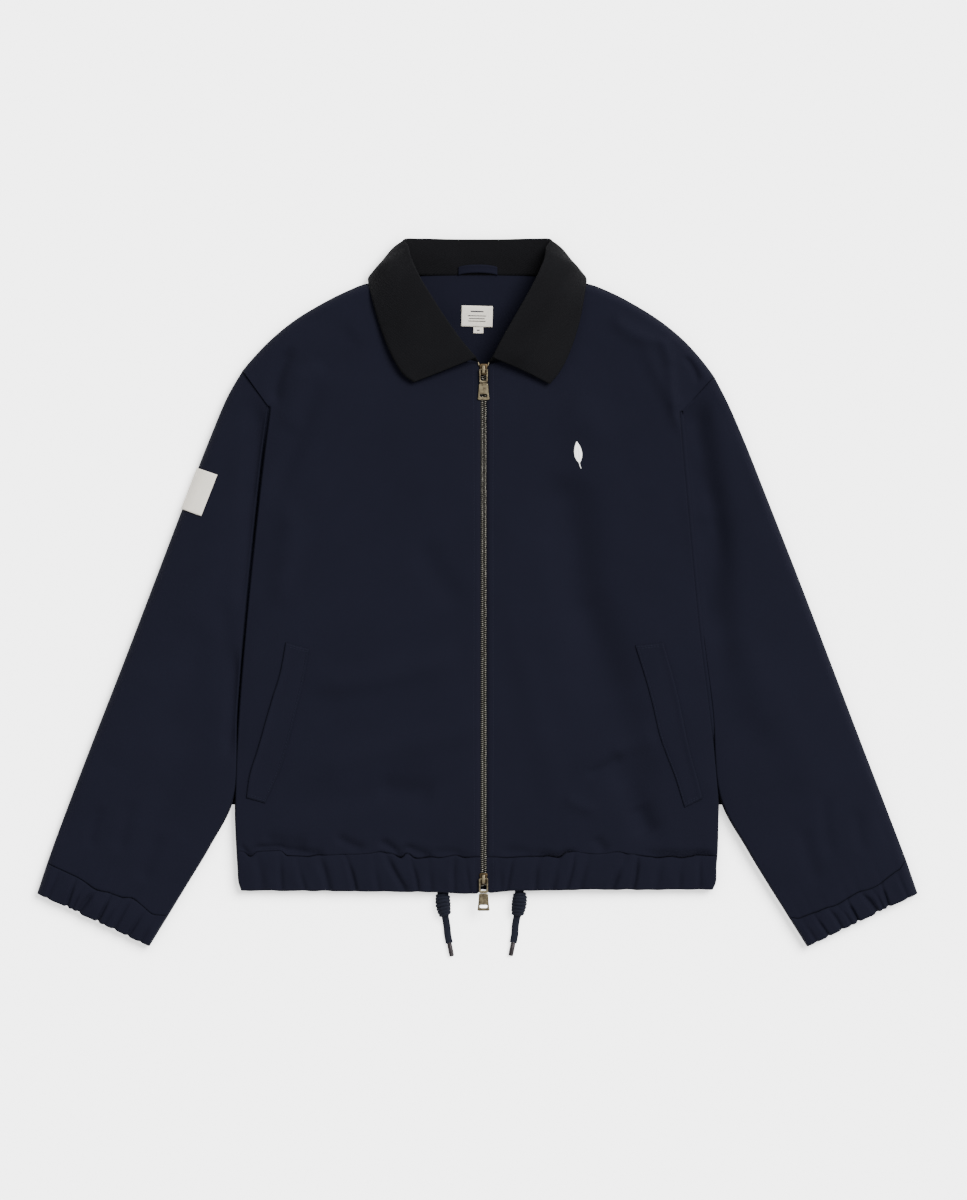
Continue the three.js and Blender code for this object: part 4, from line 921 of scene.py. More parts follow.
def makeFront(side, s):
    half = outline[side]
    neck, corner = s["cornerShare"]
    foot = np.array([half["sign"] * heights["zipEdge"], heights["band"] + heights["seamGap"]])
    end = sideEdge(half, corner)
    start = twoPart(np.array([foot, half["necklineLine"][0]]), half["necklineLine"], neck)
    plan = patch(following([foot, end(np.zeros(1))[0]]), following(half["shoulderLine"][::-1]), start, end,
                 crowdEnd(96, 1.75), panelShares(s["cornerShare"], s["front"]["rows"]))
    x, y = plan[..., 0], plan[..., 1]
    moved = y + (seamWander(x) - 0.25 * (1 - seamDepth(x))) * np.exp(-np.maximum(y - heights["band"], 0) / 9)
    outer = pointsFrom(x, moved, frontTop(half, x, y))
    piece = shell(f"front_{side}_canvas", outer, s["thickness"], half["sign"], fit=keepOver(slice(1)))
    finishPiece(piece, canvasCloth, replaces=(f"front_{side}",))


def underGrid(x, y):
    z = bodyUnder(x, y)
    return np.where(z > 0.2, z - heights["seamGap"] / 2, z)


def makeBack(s):
    right, left = outline["right"], outline["left"]
    start, end = (sideEdge(half, s["cornerShare"][1]) for half in (right, left))
    top = np.vstack([right["shoulderLine"], s["backNeck"], left["shoulderLine"][::-1]])
    plan = patch(following([start(np.zeros(1))[0], end(np.zeros(1))[0]]), following(top), start, end,
                 crowdBoth(120, 1.5), panelShares(s["cornerShare"], s["back"]["rows"]))
    x, y = plan[..., 0], plan[..., 1]
    outer = pointsFrom(x, y, underGrid(x, y))
    piece = shell("back_canvas", outer, s["backThickness"], -1, fit=keepUnder(slice(0)))
    finishPiece(piece, canvasCloth, replaces=("back",))


for side in outline:
    makeFront(side, panelSetup)
makeBack(panelSetup)
print("fronts and back laid")


# Hem casing

hemSetup = {"thickness": 1.6, "backThickness": 2.4, "frontCut": (0.335, 0.043), "backCut": (0.66, 0.043)}


def casingGrid(startX, endX, rows, shares):
    # plan of a casing: rows from its seam down to its lower edge, each shared out between its two ends
    y = heights["band"] * (1 - np.linspace(0, 1, rows))[:, None]
    low, high = startX(y), endX(y)
    x = low + (high - low) * shares
    return x, np.broadcast_to(y, x.shape)


def makeHem(s):
    for side, half in outline.items():
        x, y = casingGrid(lambda y: half["sign"] * heights["zipEdge"] + 0 * y,
                          lambda y: lineX(half["sideLine"], y), 29, crowdEnd(230, 1.1))
        down = 1 - y / heights["band"]
        moved = y + seamWander(x) * (1 - down) ** 3 + edgeWander(x) * down**2
        outer = pointsFrom(x, moved, casingTop(half, x, y))
        fit = keepOver(slice(None))
        piece = shell(f"hem_front_{side}_casing", outer, s["thickness"], -half["sign"], fit=fit)
        finishPiece(piece, canvasCloth, replaces=(f"hem_front_{side}",))

    # the seam's allowance lies inside, from just above the seam to just below it
    x, y = casingGrid(*(lambda y, line=line: lineX(line, y) for line in sideLines), 15, crowdBoth(150, 1.5))
    turning = pointsFrom(x[:5], np.linspace(48, 36, 5)[:, None], foldLevel(x[:5], y[:5]) - 1)[:, 5:-5]
    strip = shellBetween("hem_turning", turning + [0, 0, 0.7], turning)
    finishPiece(strip, canvasCloth)

    outer = pointsFrom(x, y + (edgeWander(x) + 0.8) * (1 - y / heights["band"]) ** 2, underGrid(x, y))
    piece = shell("hem_back_casing", outer, s["backThickness"], 1, fit=keepUnder(slice(None)))
    finishPiece(piece, canvasCloth, replaces=("hem_back",))


makeHem(hemSetup)
print("hem gathered")


# Sleeves and cuffs

sleeveSetup = {
    "thickness": 1.4,
    "cut": (0.52, 0.56), "area": 0.2,
    "cuffCut": (0.39, 0.036),
    "cuffThickness": 1.7, "cuffLength": 38, "cuffSeed": {"right": 32, "left": 31},
    "startGap": {"right": 0.12, "left": 0.3}, "endGap": 0.1,  # from the armhole, from the cuff's seam
    "creases": {  # from x, y to x, y, bow, half width, rise, lee side's share of the width
        "left": [
            (242, 556, 253, 440, 4, 18, -8.0, 1.0), (253, 440, 255, 300, -3, 18, -7.0, 1.0),
            (250, 470, 262, 400, 2, 7, 1.2, 1.0),
            (300, 545, 330, 440, -4, 13, 1.8, 1.0), (300, 300, 330, 180, 6, 20, 2.0, 1.0),
            (390, 110, 400, 40, 2, 8, -1.6, 1.0),
            (430, 90, 436, 45, 2, 7, -1.4, 1.0), (366, 70, 384, 10, 2, 9, -1.6, 1.0),
            (455, 110, 470, 50, 2, 8, -1.2, 1.0),
            (270, 560, 300, 520, 3, 9, -1.2, 1.0),
        ],
        "right": [
            (-260, 556, -268, 440, -3, 12, -6.0, 1.0), (-268, 440, -276, 330, -2, 9, -3.5, 1.0),
            (-285, 270, -292, 160, -2, 8, -5.0, 1.0), (-300, 540, -330, 430, 4, 16, 2.0, 1.0),
            (-330, 300, -366, 170, -5, 22, -2.4, 1.0),
            (-300, 330, -296, 210, -3, 12, -1.8, 1.0), (-404, 100, -418, 45, 2, 8, -1.6, 1.0),
            (-440, 95, -452, 50, 2, 7, -1.4, 1.0),
            (-372, 62, -392, 12, 2, 9, -1.6, 1.0), (-470, 108, -484, 60, 2, 7, -1.2, 1.0),
            (-380, 250, -420, 150, 5, 18, 1.8, 1.0),
        ],
    },
}


def sharesRound(overCount, overPower, underCount, underPower):
    # shares across a tube: over the top from the outer fold to the inner, then back underneath
    return crowdBoth(overCount, overPower), crowdBoth(underCount, underPower)[1:-1][::-1]


def ringGrid(half, rows, over, below, raiseOver):
    # for each row of outer and inner fold, a ring of points over the top and back underneath
    ends = rows[:, None]
    x, y = (ends[..., k] + (ends[..., k + 2] - ends[..., k]) * over for k in (0, 1))
    top = pointsFrom(x, y, sleeveUpper(half, x, y) + raiseOver(x, y, over[None]))
    x, y = (ends[..., k] + (ends[..., k + 2] - ends[..., k]) * below for k in (0, 1))
    return np.concatenate([top, pointsFrom(x, y, sleeveUnder(half, x, y))], axis=1)


def pushedTo(side, grid, shares, overCount, fade):
    # the gathers push the cuff's seam towards its end, fading away from the seam
    seam, end = outline[side]["rows"][-2:]
    along = unit((end - seam)[:2])
    across = unit(seam[2:] - seam[:2])
    away = (grid[..., 0] - seam[0]) * across[1] - (grid[..., 1] - seam[1]) * across[0]
    push = easedTable(cuffSeams[side], shares) + 0.7 * softNoise(shares * 130, 0 * shares, 12, 84)
    push = np.where(np.arange(len(shares)) < overCount, push, push * 0.4)
    moved = grid.copy()
    moved[..., :2] += (push * bump(away, 0, fade))[..., None] * along
    return moved


def seamRoll(side, share, roll):
    # the cloth dips into the cuff's seam, except where a gather hides it
    return (0.02 + 0.9 * easedTable(cuffSeamOpen[side], share)) * (1 - roll)


def makeSleeve(side, s):
    half = outline[side]
    # the tube starts a little past the armhole and stops just short of the cuff's seam
    table = half["rows"][:-1].copy()
    table[0] += (table[1] - table[0]) * s["startGap"][side] / np.hypot(*(table[1] - table[0])[:2])
    table[-1] += (table[-2] - table[-1]) * s["endGap"] / np.hypot(*(table[-2] - table[-1])[:2])
    rows = throughPoints(table, np.linspace(0, 1, 210))
    seam = half["rows"][-2]
    across = unit(seam[2:] - seam[:2])

    def raiseOver(x, y, share):
        inside = quarterRound(np.minimum(share, 1 - share), 0.1)
        z = inside * (creaseRise(x, y, s["creases"][side]) + clothWaver(x + 37, y - 11, 1.6))
        # the cuff's gathers run up into the sleeve and fade
        away = np.abs((x - seam[0]) * across[1] - (y - seam[1]) * across[0])
        z = z + 0.7 * inside * np.exp(-away / 15) * gatherDepth(cuffGathers, share, -0.25)
        return z - seamRoll(side, share, quarterRound(away, 2.8)) * inside

    over, below = sharesRound(78, 1.7, 48, 1.6)
    grid = ringGrid(half, rows, over, below, raiseOver)
    grid = pushedTo(side, grid, np.concatenate([over, below]), len(over), fade=14)
    piece = shell(f"sleeve_{side}_canvas", grid, s["thickness"], half["sign"], wraps=True)
    walls = [f"sleeve_{side}_{wall}" for wall in ("upper", "under", "outer_fold", "inner_fold")]
    finishPiece(piece, canvasCloth, replaces=walls)


def makeArmholeTurning(side):
    # seam allowance inside the armhole, a short tube a little in from both walls
    half = outline[side]
    table = half["rows"]
    step = (table[1] - table[0]) / np.hypot(*(table[1] - table[0])[:2])
    rows = table[0] + step * np.linspace(-3.5, 4.5, 9)[:, None]
    inward = (rows[:, 2:] - rows[:, :2]) / np.hypot(*(rows[0, 2:] - rows[0, :2]))
    rows += np.concatenate([inward * 1.4, inward * -1.5], axis=1)
    grid = ringGrid(half, rows, *sharesRound(60, 1.7, 40, 1.6), lambda x, y, share: 0)
    grid = grid - half["sign"] * 1.1 * gridNormals(grid, True)
    piece = shell(f"armhole_turning_{side}", grid, 0.6, half["sign"], wraps=True)
    finishPiece(piece, canvasCloth)


def makeSideTurning(side):
    # the turned side seam closes the crevice between body and sleeve, lying high there, and down on the
    # floor where they part
    half = outline[side]
    y = np.linspace(14, 558, 150)
    y = y[y > 96][:, None]
    bodyEdge = lineX(half["sideLine"], y)
    sleeveEdge = lineX(half["innerLine"][np.argsort(half["innerLine"][:, 1])], y)
    share = np.linspace(0, 1, 9)
    start = bodyEdge - half["sign"] * 2.4
    apart = np.abs(sleeveEdge - bodyEdge) > 12
    end = np.where(apart, bodyEdge + half["sign"] * 1.0, sleeveEdge + half["sign"] * 2.4)
    z = 1.2 + easedTable(heights["turningRise"][side], y) + 0.7 * np.sin(np.pi * share)
    outer = pointsFrom(start * (1 - share) + end * share, y, z)
    piece = shellBetween(f"side_turning_{side}", outer, outer - [0, 0, 0.6])
    finishPiece(piece, canvasCloth)


def makeCuff(side, s):
    half = outline[side]
    seam, end = half["rows"][-2:]
    down = np.linspace(0, 1, 25)[:, None]
    length = s["cuffLength"]

    def raiseOver(x, y, share):
        inner = quarterRound(np.minimum(share, 1 - share), 0.06)
        puff = 1.6 * np.sin(np.pi * down) + 0.9
        fine = 0.5 * softNoise(share * 130, down * 20, 9, s["cuffSeed"][side])
        z = inner * (puff + 0.9 * gatherDepth(cuffGathers, share, down) + fine)
        roll = quarterRound(down * length, 2.2) * quarterRound(length - down * length, 2.0)
        return z - np.where(down < 0.5, seamRoll(side, share, roll), 0.6 * (1 - roll)) * inner

    over, below = sharesRound(170, 1.05, 60, 1.5)
    shares = np.concatenate([over, below])
    grid = ringGrid(half, seam + (end - seam) * down, over, below, raiseOver)
    grid = pushedTo(side, grid, shares, len(over), fade=17)
    scallop = 0.7 * softNoise(shares * 130, 0 * shares, 11, 85) + 0.55 * gatherDepth(cuffGathers, shares, 1.0)
    grid[..., :2] += (scallop * down**2)[..., None] * unit((end - seam)[:2])
    piece = shell(f"cuff_{side}_casing", grid, s["cuffThickness"], half["sign"], wraps=True)
    finishPiece(piece, canvasCloth, replaces=(f"cuff_{side}",))


for side in outline:
    makeSleeve(side, sleeveSetup)
    makeArmholeTurning(side)
    makeSideTurning(side)
    makeCuff(side, sleeveSetup)
print("sleeves and cuffs laid")


# Collar

collarSetup = {
    "thickness": 2.0,
    "stitchIn": 5.6,  # topstitch, in from the fall's edge
    "cut": (0.56, 0.118), "area": None,
    # sewn edge, roll, over the fall, free edge; from the right front round the neck to the left
    "sections": [
        ((-5.5, 607, 25), (-9, 611, 33), (-44, 597, 32), (-80, 583, 29.5)),
        ((-22.5, 613, 25), (-23, 627, 37.5), (-58, 608, 35.5), (-92, 592, 30)),
        ((-50, 638, 25.5), (-40, 650, 40.5), (-74, 632, 37), (-106, 615, 30)),
        ((-72, 664, 25), (-57, 676, 42), (-88, 663, 38), (-119, 648, 27)),
        ((-87, 687, 20), (-74, 704, 41), (-103, 698, 36), (-129, 684, 23)),
        ((-92, 699.5, 14.5), (-84, 726, 34), (-116, 717, 27), (-132.5, 704, 9)),
        ((-90, 704, 12), (-87, 738, 29), (-113.5, 725, 18), (-128, 706, 3)),
        ((-87, 707, 9.5), (-91, 746.6, 21), (-103, 736, 9.5), (-106, 694, 1.2)),
        ((-70, 707, 6.4), (-74, 748.2, 15), (-81, 728, 2.6), (-84, 684, 1.2)),
        ((-40, 707, 5), (-39, 748, 12), (-42, 721, 1.6), (-48, 682, 1.2)),
        ((-7, 707, 4.8), (-7, 748, 11), (-7, 721, 1.5), (-7, 682, 1.2)),
        ((26, 707, 5), (25, 748, 12), (28, 721, 1.6), (34, 682, 1.2)),
        ((56, 707, 6.4), (60, 748.2, 15), (67, 728, 2.6), (70, 684, 1.2)),
        ((73, 707, 9.5), (77, 746.6, 21), (88.5, 736, 9.5), (92, 694, 1.2)),
        ((76, 704, 12), (73, 738, 29), (99, 725, 18), (113, 706, 3)),
        ((78, 699.5, 14.5), (71, 726, 34), (102, 717, 27), (118, 704, 9)),
        ((71, 687, 20), (62, 704, 41), (90, 697, 36), (116, 684, 23)),
        ((56, 664, 25), (47, 676, 42), (78, 662, 38), (110, 652, 28)),
        ((39, 638, 25.5), (32, 650, 40.5), (65, 632, 37), (99, 618, 30)),
        ((19, 613, 25), (19, 627, 37.5), (52, 608, 35.5), (88, 596, 30)),
        ((6, 607, 25), (11, 611, 33), (42, 598, 32), (76, 581, 29.5)),
    ],
}


def collarMiddle(s, around, down):
    # middle surface: each section a smooth line from sewn edge over the roll to the free edge
    table = np.array(s["sections"], float)
    neck, roll, over, edge = (throughPoints(table[:, k], around) for k in range(4))
    stand = neck + (roll - neck) * 0.55 + [0, 0, 1.2]
    turn = roll + (over - roll) * 0.1 + [0, 0, 0.6]
    ladder = np.stack([neck, stand, roll, turn, over, edge])
    grid = np.stack([throughPoints(ladder[:, n], down) for n in range(len(around))])
    grid[..., 2] = np.maximum(grid[..., 2], 1.15)
    return grid


def makeCollar(s):
    around = np.linspace(0, 1, 260)
    spans = ((0, 0.36, 14), (0.36, 0.52, 16), (0.52, 1, 34))  # the stand, the roll and the fall
    down = np.unique(np.concatenate([np.linspace(*span) for span in spans]))
    grid = collarMiddle(s, around, down)
    normals = gridNormals(grid)
    # distance of each point from the free edges, along the cloth
    fromEdge = wayAlong(grid[:, ::-1], 1)[:, ::-1]
    started = wayAlong(grid)
    fromEnd = np.minimum(started, started[-1:] - started)
    onFall = ease(down, 0.42, 0.5)
    nearest = np.minimum(fromEdge, fromEnd + (1 - onFall) * 99)
    half = s["thickness"] / 2
    # turned edges are full, pressed in along the line of stitches, and rounded off at the very edge
    roll = 0.35 + 0.65 * quarterRound(np.minimum(nearest, fromEnd), 1.6)
    full = 0.35 * bump(nearest, 2.8, 1.9) - 0.5 * bump(nearest, s["stitchIn"], 0.9)
    full = full + 0.18 * softNoise(started, fromEdge, 7, 41)
    full = full + 0.35 * softNoise(started, fromEdge * 1.3, 26, 42) * onFall
    outer = grid + normals * ((half + full * onFall) * roll)[..., None]
    inner = grid - normals * (half * roll)[..., None]
    uvs = pointsFrom(started, np.max(fromEdge, axis=1, keepdims=True) - fromEdge) * mm
    piece = shellBetween("collar_corduroy", outer, inner, uvs=uvs)
    finishPiece(piece, cordCloth, replaces=("collar",))
    return grid, normals, fromEdge, outer


collarGrid, collarNormals, collarFromEdge, collarOuter = makeCollar(collarSetup)
print("collar turned down")


# Stitches, each a short rounded bar: a six-sided ring at four places along it

stitchSetup = {
    "pitch": 3.3, "length": 2.45, "sink": 0.12,
    "places": (-0.5, -0.36, 0.36, 0.5), "girth": (0.35, 1.0, 1.0, 0.35),  # of a stitch's rings
}


def makeStitches(name, lines, s, width, tall, lookAhead):
    # lines of points, each with a direction off the cloth for every point, or a height over the plan
    rings = []
    girth = np.array(s["girth"])[:, None, None] * 0.5
    for line, cloth in lines:
        total = wayAlong(line)[-1]
        count = max(int(total / s["pitch"]), 1)
        at = (np.arange(count) + 0.5) / count
        middle, ahead, behind = (alongLine(line, at + d / total) for d in (0, lookAhead, -lookAhead))
        heading = unit(ahead - behind)
        spots = middle[:, None] + heading[:, None] * (np.array(s["places"]) * s["length"])[:, None]
        if callable(cloth):
            side = np.stack([-heading[:, 1], heading[:, 0], 0 * at], -1)
            out = np.tile([0.0, 0.0, 1.0], (count, 1))
            x, y = spots[..., 0], spots[..., 1]
            spots = pointsFrom(x, y, cloth(x, y))[:, :, None] + [0, 0, 1] * (girth * tall - s["sink"])
        else:
            out = alongLine(np.hstack([line, cloth]), at)[:, 3:]
            side = unit(np.cross(out, heading))
            spots = (spots + out[:, None] * tall * 0.3)[:, :, None]
        ring = ringShape(6) * [width, tall]
        around = side[:, None, None] * ring[:, :1] + out[:, None, None] * ring[:, 1:]
        rings.append((spots + girth * around).reshape(-1, 3))
    points = np.vstack(rings)
    return makeMesh(name, points, barQuads(len(points) // 24, 4, 6), points[:, :2] * mm)


# Pockets: a raised strip along each slanted opening, its outer edge free and its inner edge sewn down

pocketSetup = {
    "thickness": 1.1,
    "cut": (0.19, 0.03),
    "lift": 0.45, "full": 1.25,  # of the strip over the front: at its edges, and more in its middle
    "across": (0, 0.012, 0.03, 0.06, 0.1, 0.16, 0.24, 0.34, 0.46, 0.58, 0.7, 0.8, 0.87, 0.93, 0.965, 0.985,
               1),
    "lines": {  # opening edge and sewn edge, from the top down
        "right": (
            [(-227, 285), (-234, 248), (-241.5, 224), (-248, 202), (-259, 163), (-268.5, 133),
             (-272.5, 106)],
            [(-200, 277.5), (-206.5, 240), (-213, 214), (-221, 181), (-232, 143), (-243, 118), (-251, 100)],
        ),
        "left": (
            [(206.4, 285), (221.4, 232), (228.5, 199), (235, 168), (241, 145), (247, 124), (251.5, 105)],
            [(174, 281.5), (187, 240), (194, 214), (202, 179), (210, 156), (219, 133), (231, 95)],
        ),
    },
}


def makePocket(side, s):
    half = outline[side]
    openEdge, sewnEdge = (smoothLine(line) for line in s["lines"][side])

    def between(down, across):
        # a place on the strip, from its share down it and its share from the open edge to the sewn one
        return alongLine(openEdge, down) * (1 - across) + alongLine(sewnEdge, down) * across

    down = np.linspace(0, 1, 130)[:, None]
    across = np.array(s["across"])
    plan = between(down, across[:, None])
    x, y = plan[..., 0], plan[..., 1]
    start, end = alongLine(openEdge, down[:, 0]), alongLine(sewnEdge, down[:, 0])
    width = np.linalg.norm(end - start, axis=1)[:, None]
    fromOpen, fromSewn = across * width, (1 - across) * width
    length = wayAlong(start)[-1]
    # full along the folded edge, pressed down beside the sewn one and at both ends, slightly rippled between
    fullness = s["full"] + 0.9 * np.sin(np.pi * down) * np.exp(-fromOpen / 7)
    fullness = fullness + 0.5 * bump(fromOpen, 2.4, 2.2) - 0.45 * bump(fromSewn, 2.2, 1.0)
    fullness = fullness + 0.28 * softNoise(fromOpen * 1.4, down * length * 0.55, 13, 51)
    edge = quarterRound(np.minimum(np.minimum(fromOpen, fromSewn), np.minimum(down, 1 - down) * length), 1.0)
    rise = s["lift"] + fullness * edge
    base = frontTop(half, x, y)
    inner = pointsFrom(x, y, base + np.maximum(rise - s["thickness"], 0.2))
    piece = shellBetween(f"welt_{side}_canvas", pointsFrom(x, y, base + rise), inner)
    finishPiece(piece, canvasCloth, replaces=(f"welt_{side}",))

    # stitches along the sewn edge and in two rows at each end
    lines = [between(np.linspace(0.012, 0.988, 60), 0.93)]
    for place in (0.012, 0.023, 0.985, 0.974):
        lines.append(between(np.full(20, place), np.linspace(0.06, 0.94, 20)[:, None]))
    return [(line, lambda x, y: frontTop(half, x, y) + s["lift"] + s["full"]) for line in lines]


def sewFronts(stitches):
    # topstitches beside the zip, up the fronts and down the hem casings
    inset = 11
    for half in outline.values():
        y = np.linspace(43.5, 598, 260)
        x = half["sign"] * (inset + 0.35 * softNoise(y, 0 * y, 60, 61))
        stitches.append((pointsFrom(x, y), lambda x, y, half=half: frontTop(half, x, y)))
        casingLine = pointsFrom(half["sign"] * inset, np.linspace(3, 38, 20))
        stitches.append((casingLine, lambda x, y, half=half: casingTop(half, x, y)))
    thread = makeStitches("topstitching", stitches, stitchSetup, 0.5, 0.34, 0.5)
    finishPiece(thread, seamThread)


sewFronts([stitch for side in outline for stitch in makePocket(side, pocketSetup)])
print("pockets and seams sewn")


def atInset(way, points, inset):
    # for each row of points, the point where the way from the edge reaches the inset
    return np.array([[np.interp(inset, w, p[:, k]) for k in range(3)] for w, p in zip(way, points)])


def sewCollar(s):
    # one line round the fall's long edge, and one up each front edge, all a stitch's inset in
    inset = s["stitchIn"]
    line = atInset(collarFromEdge[:, ::-1], collarOuter[:, ::-1], inset)
    way = wayAlong(line)
    paths = [line[(way > inset) & (way < way[-1] - inset)]]
    for turn in (1, -1):
        way = wayAlong(collarGrid[::turn])
        line = atInset(way.T[-30:], collarOuter[::turn].transpose(1, 0, 2)[-30:], inset)
        paths.append(line[np.linalg.norm(line - line[-1], axis=1) > inset])
    nearest = [[np.argmin(((collarOuter - p) ** 2).sum(-1)) for p in path] for path in paths]
    stitches = [(path, collarNormals.reshape(-1, 3)[index]) for path, index in zip(paths, nearest)]
    thread = makeStitches("collar_topstitching", stitches, stitchSetup, 0.55, 0.15, 0.6)
    finishPiece(thread, cordThread)


sewCollar(collarSetup)
print("collar stitched")


# Zip

zipSetup = {
    "chain": (chainStart, 596), "pitch": 2.3, "rise": 0.3, "tapeTop": 600,
    "tapeEdges": (0.4, 9), "tapeThick": 0.9, "tapeDepth": 3.7, "cordAt": 2.75, "cordRadius": 0.55,
    "stopMiddle": (5.6, 604.3, 0.9), "stopSize": (1.6, 4.6, 1.7), "stopTurn": 14,
    # rings of a tooth from its tape to just past the middle: x, half its length, half its height
    "tooth": [(3.3, 0.36, 0.72), (2.9, 0.52, 1.12), (1.2, 0.5, 1.15), (0.4, 0.42, 0.8), (-0.3, 0.3, 0.4)],
}
chainRows = np.linspace(0, 610, 245)
chainHeights = bodyUpper(0 * chainRows, chainRows)


def chainTop(y):
    return np.interp(y, chainRows, chainHeights) + zipSetup["rise"]


def makeTeeth(s):
    # two rows of rounded bars that interlock, each with a broader head
    place, halfLong, halfTall = np.array(s["tooth"])[..., None].transpose(1, 0, 2)
    box = ringShape(8, 0.6, np.pi / 8)
    low, high = s["chain"]
    margin = 0.8
    rings = []
    for side, start in ((-1, 0.25), (1, 0.75)):
        y = low + margin + (np.arange(int((high - low) / s["pitch"])) + start) * s["pitch"]
        y = y[y <= high - margin][:, None, None]
        z = chainTop(y) - 1.35 + box[:, 1] * halfTall
        rings.append(pointsFrom(side * place, y + box[:, 0] * halfLong, z).reshape(-1, 3))
    points = np.vstack(rings)
    return makeMesh("zip_teeth", points, barQuads(len(points) // 40, 5, 8), points[:, :2] * mm)


def roundedBar(name, middle, size, turn, power=3.4):
    # rounded block: a superellipse ring at each height, drawn in towards top and bottom
    rise = np.linspace(-1, 1, 11)[:, None]
    draw = np.maximum((1 - np.abs(rise) ** power) ** (1 / power), 0.35)
    shape = ringShape(28, 2 / power)
    x = shape[:, 0] * draw * size[0] / 2
    y = shape[:, 1] * (1 - (1 - draw) * size[0] / size[1]) * size[1] / 2
    c, s = math.cos(math.radians(turn)), math.sin(math.radians(turn))
    return closedTube(name, pointsFrom(x * c - y * s, x * s + y * c, rise * size[2] / 2) + middle)


def makeZip(s):
    finishPiece(makeTeeth(s), agedTeeth, replaces=("zip_chain",))
    for side, half in outline.items():
        sign = half["sign"]
        near, far = s["tapeEdges"]
        y = np.linspace(s["chain"][0] - 1, s["tapeTop"], 200)[:, None]
        x = sign * (near + (far - near) * np.linspace(0, 1, 10))
        outer = pointsFrom(x, y, chainTop(y) - s["rise"] - s["tapeDepth"])
        tape = shellBetween(f"zip_tape_{side}_woven", outer, outer - [0, 0, s["tapeThick"]])
        finishPiece(tape, tapeCloth, replaces=(f"zip_tape_{side}",))
        # the tape's corded edge, between teeth and cloth
        y = np.linspace(s["chain"][0], s["tapeTop"] - 1, 260)
        edge = pointsFrom(sign * s["cordAt"], y, chainTop(y) - 2.0)
        bead = tubeAlong(f"zip_cord_{side}", edge, s["cordRadius"], 8)
        finishPiece(bead, tapeCloth)
        # top stop, splayed outwards above the slider
        x, y, z = s["stopMiddle"]
        middle = [sign * x, y, chainTop(s["tapeTop"]) + z]
        stop = roundedBar(f"zip_stop_{side}", middle, s["stopSize"], -sign * s["stopTurn"])
        finishPiece(stop, antiqueBrass)


makeZip(zipSetup)
print("zip closed")


# Sliders and pulls

pullSetup = {
    "sliders": {"top": {"y": 598, "tilt": 2.4, "grow": 1}, "bottom": {"y": 13.5, "tilt": 4, "grow": 1.06}},
    "plan": [  # right half of the slider's plate: narrow at its foot, broad at its shoulders
        (0, -6.5), (2.4, -6.45), (3.0, -5.9), (3.25, -3.5), (3.9, 0), (4.55, 3.0), (4.7, 4.6), (4.2, 5.9),
        (2.8, 6.45), (0, 6.5),
    ],
    "plate": 1.4,
    "levels": [  # height over the plate's foot, share of the plan
        (0, 0.88), (0.12, 0.95), (0.35, 1.0), (0.95, 1.0), (1.2, 0.965), (1.34, 0.9), (1.4, 0.8),
        (1.42, 0.55), (1.42, 0.3),
    ],
    "bridgeReach": 5.3, "bridgeRise": 2.3, "bridgeWidth": 3.2, "bridgeWall": 0.7,
    # the bridge's arch from a foot to its middle: share of its reach, height, share of its rise
    "arch": [(1, -0.1, 0), (1, 0, 0.45), (0.82, 0, 0.9), (0.4, 0, 1), (0, 0, 1.02)],
    "frame": {  # upper frame of the pull: half width at its top and foot, and its window
        "top": 0.7, "foot": -15.6, "halfTop": 5.1, "halfFoot": 4.7,
        "window": (-0.75, -13.0, 3.2), "thick": 1.5, "lift": 0.15,
    },
    "tab": {  # lower tab of the pull
        "top": -15.9, "foot": -35.0, "halfTop": 5.1, "halfFoot": 6.8,
        "window": (-28.6, -31.7, 4.1), "thick": 1.2, "lift": 0,
    },
}


def mirrored(right):
    # closed outline from its right half
    return np.vstack([right, right[::-1][1:-1] * [-1, 1]])


def makeSlider(place, s):
    y0 = s["sliders"][place]["y"]
    z0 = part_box(f"slider_{place}")[0][2] / mm
    plan = mirrored(throughPoints(s["plan"], np.linspace(0, 1, 33)))
    rings = [pointsFrom(plan[:, 0] * share, plan[:, 1] * share + y0, z0 + h) for h, share in s["levels"]]
    plate = closedTube(f"slider_{place}_plate", np.stack(rings))
    # the plate takes a darker copy of the brass than the bridge and pull: painted shade
    finishPiece(plate, shadedBrass, replaces=(f"slider_{place}",))
    # the bridge: an arch of flat bar whose feet stand on the plate either side of the pull
    reach, rise = s["bridgeReach"] - s["bridgeWall"] / 2, s["bridgeRise"] + s["bridgeWall"] / 2
    arch = np.array([(-reach * out, low + rise * up) for out, low, up in s["arch"]])
    line = throughPoints(np.vstack([arch, arch[-2::-1] * [-1, 1]]), np.linspace(0, 1, 60))
    path = pointsFrom(0, y0 + line[:, 0], z0 + s["plate"] + line[:, 1])
    side = np.tile([1.0, 0.0, 0.0], (len(path), 1))
    up = np.cross(side, unit(np.gradient(path, axis=0)))
    section = ringShape(16, 0.55) * [s["bridgeWidth"] / 2, s["bridgeWall"] / 2]
    bridge = closedTube(f"slider_{place}_bridge", ringsAround(path, side, up, section))
    finishPiece(bridge, antiqueBrass)


def loopFrame(outer, inner, thick, bevel=0.45):
    # flat ring between two closed outlines, its edges rounded off
    share = np.array([0, 0.03, 0.08, 0.16, 0.28, 0.42, 0.58, 0.72, 0.84, 0.92, 0.97, 1])
    flat = outer[:, None] * (1 - share[:, None]) + inner[:, None] * share[:, None]
    width = np.linalg.norm(outer - inner, axis=1)[:, None]
    rise = thick / 2 * (0.3 + 0.7 * quarterRound(np.minimum(share, 1 - share) * width, bevel))
    top, bottom = (pointsFrom(flat[..., 0], flat[..., 1], z) for z in (rise, -rise))
    return np.concatenate([top, bottom[:, ::-1]], axis=1)


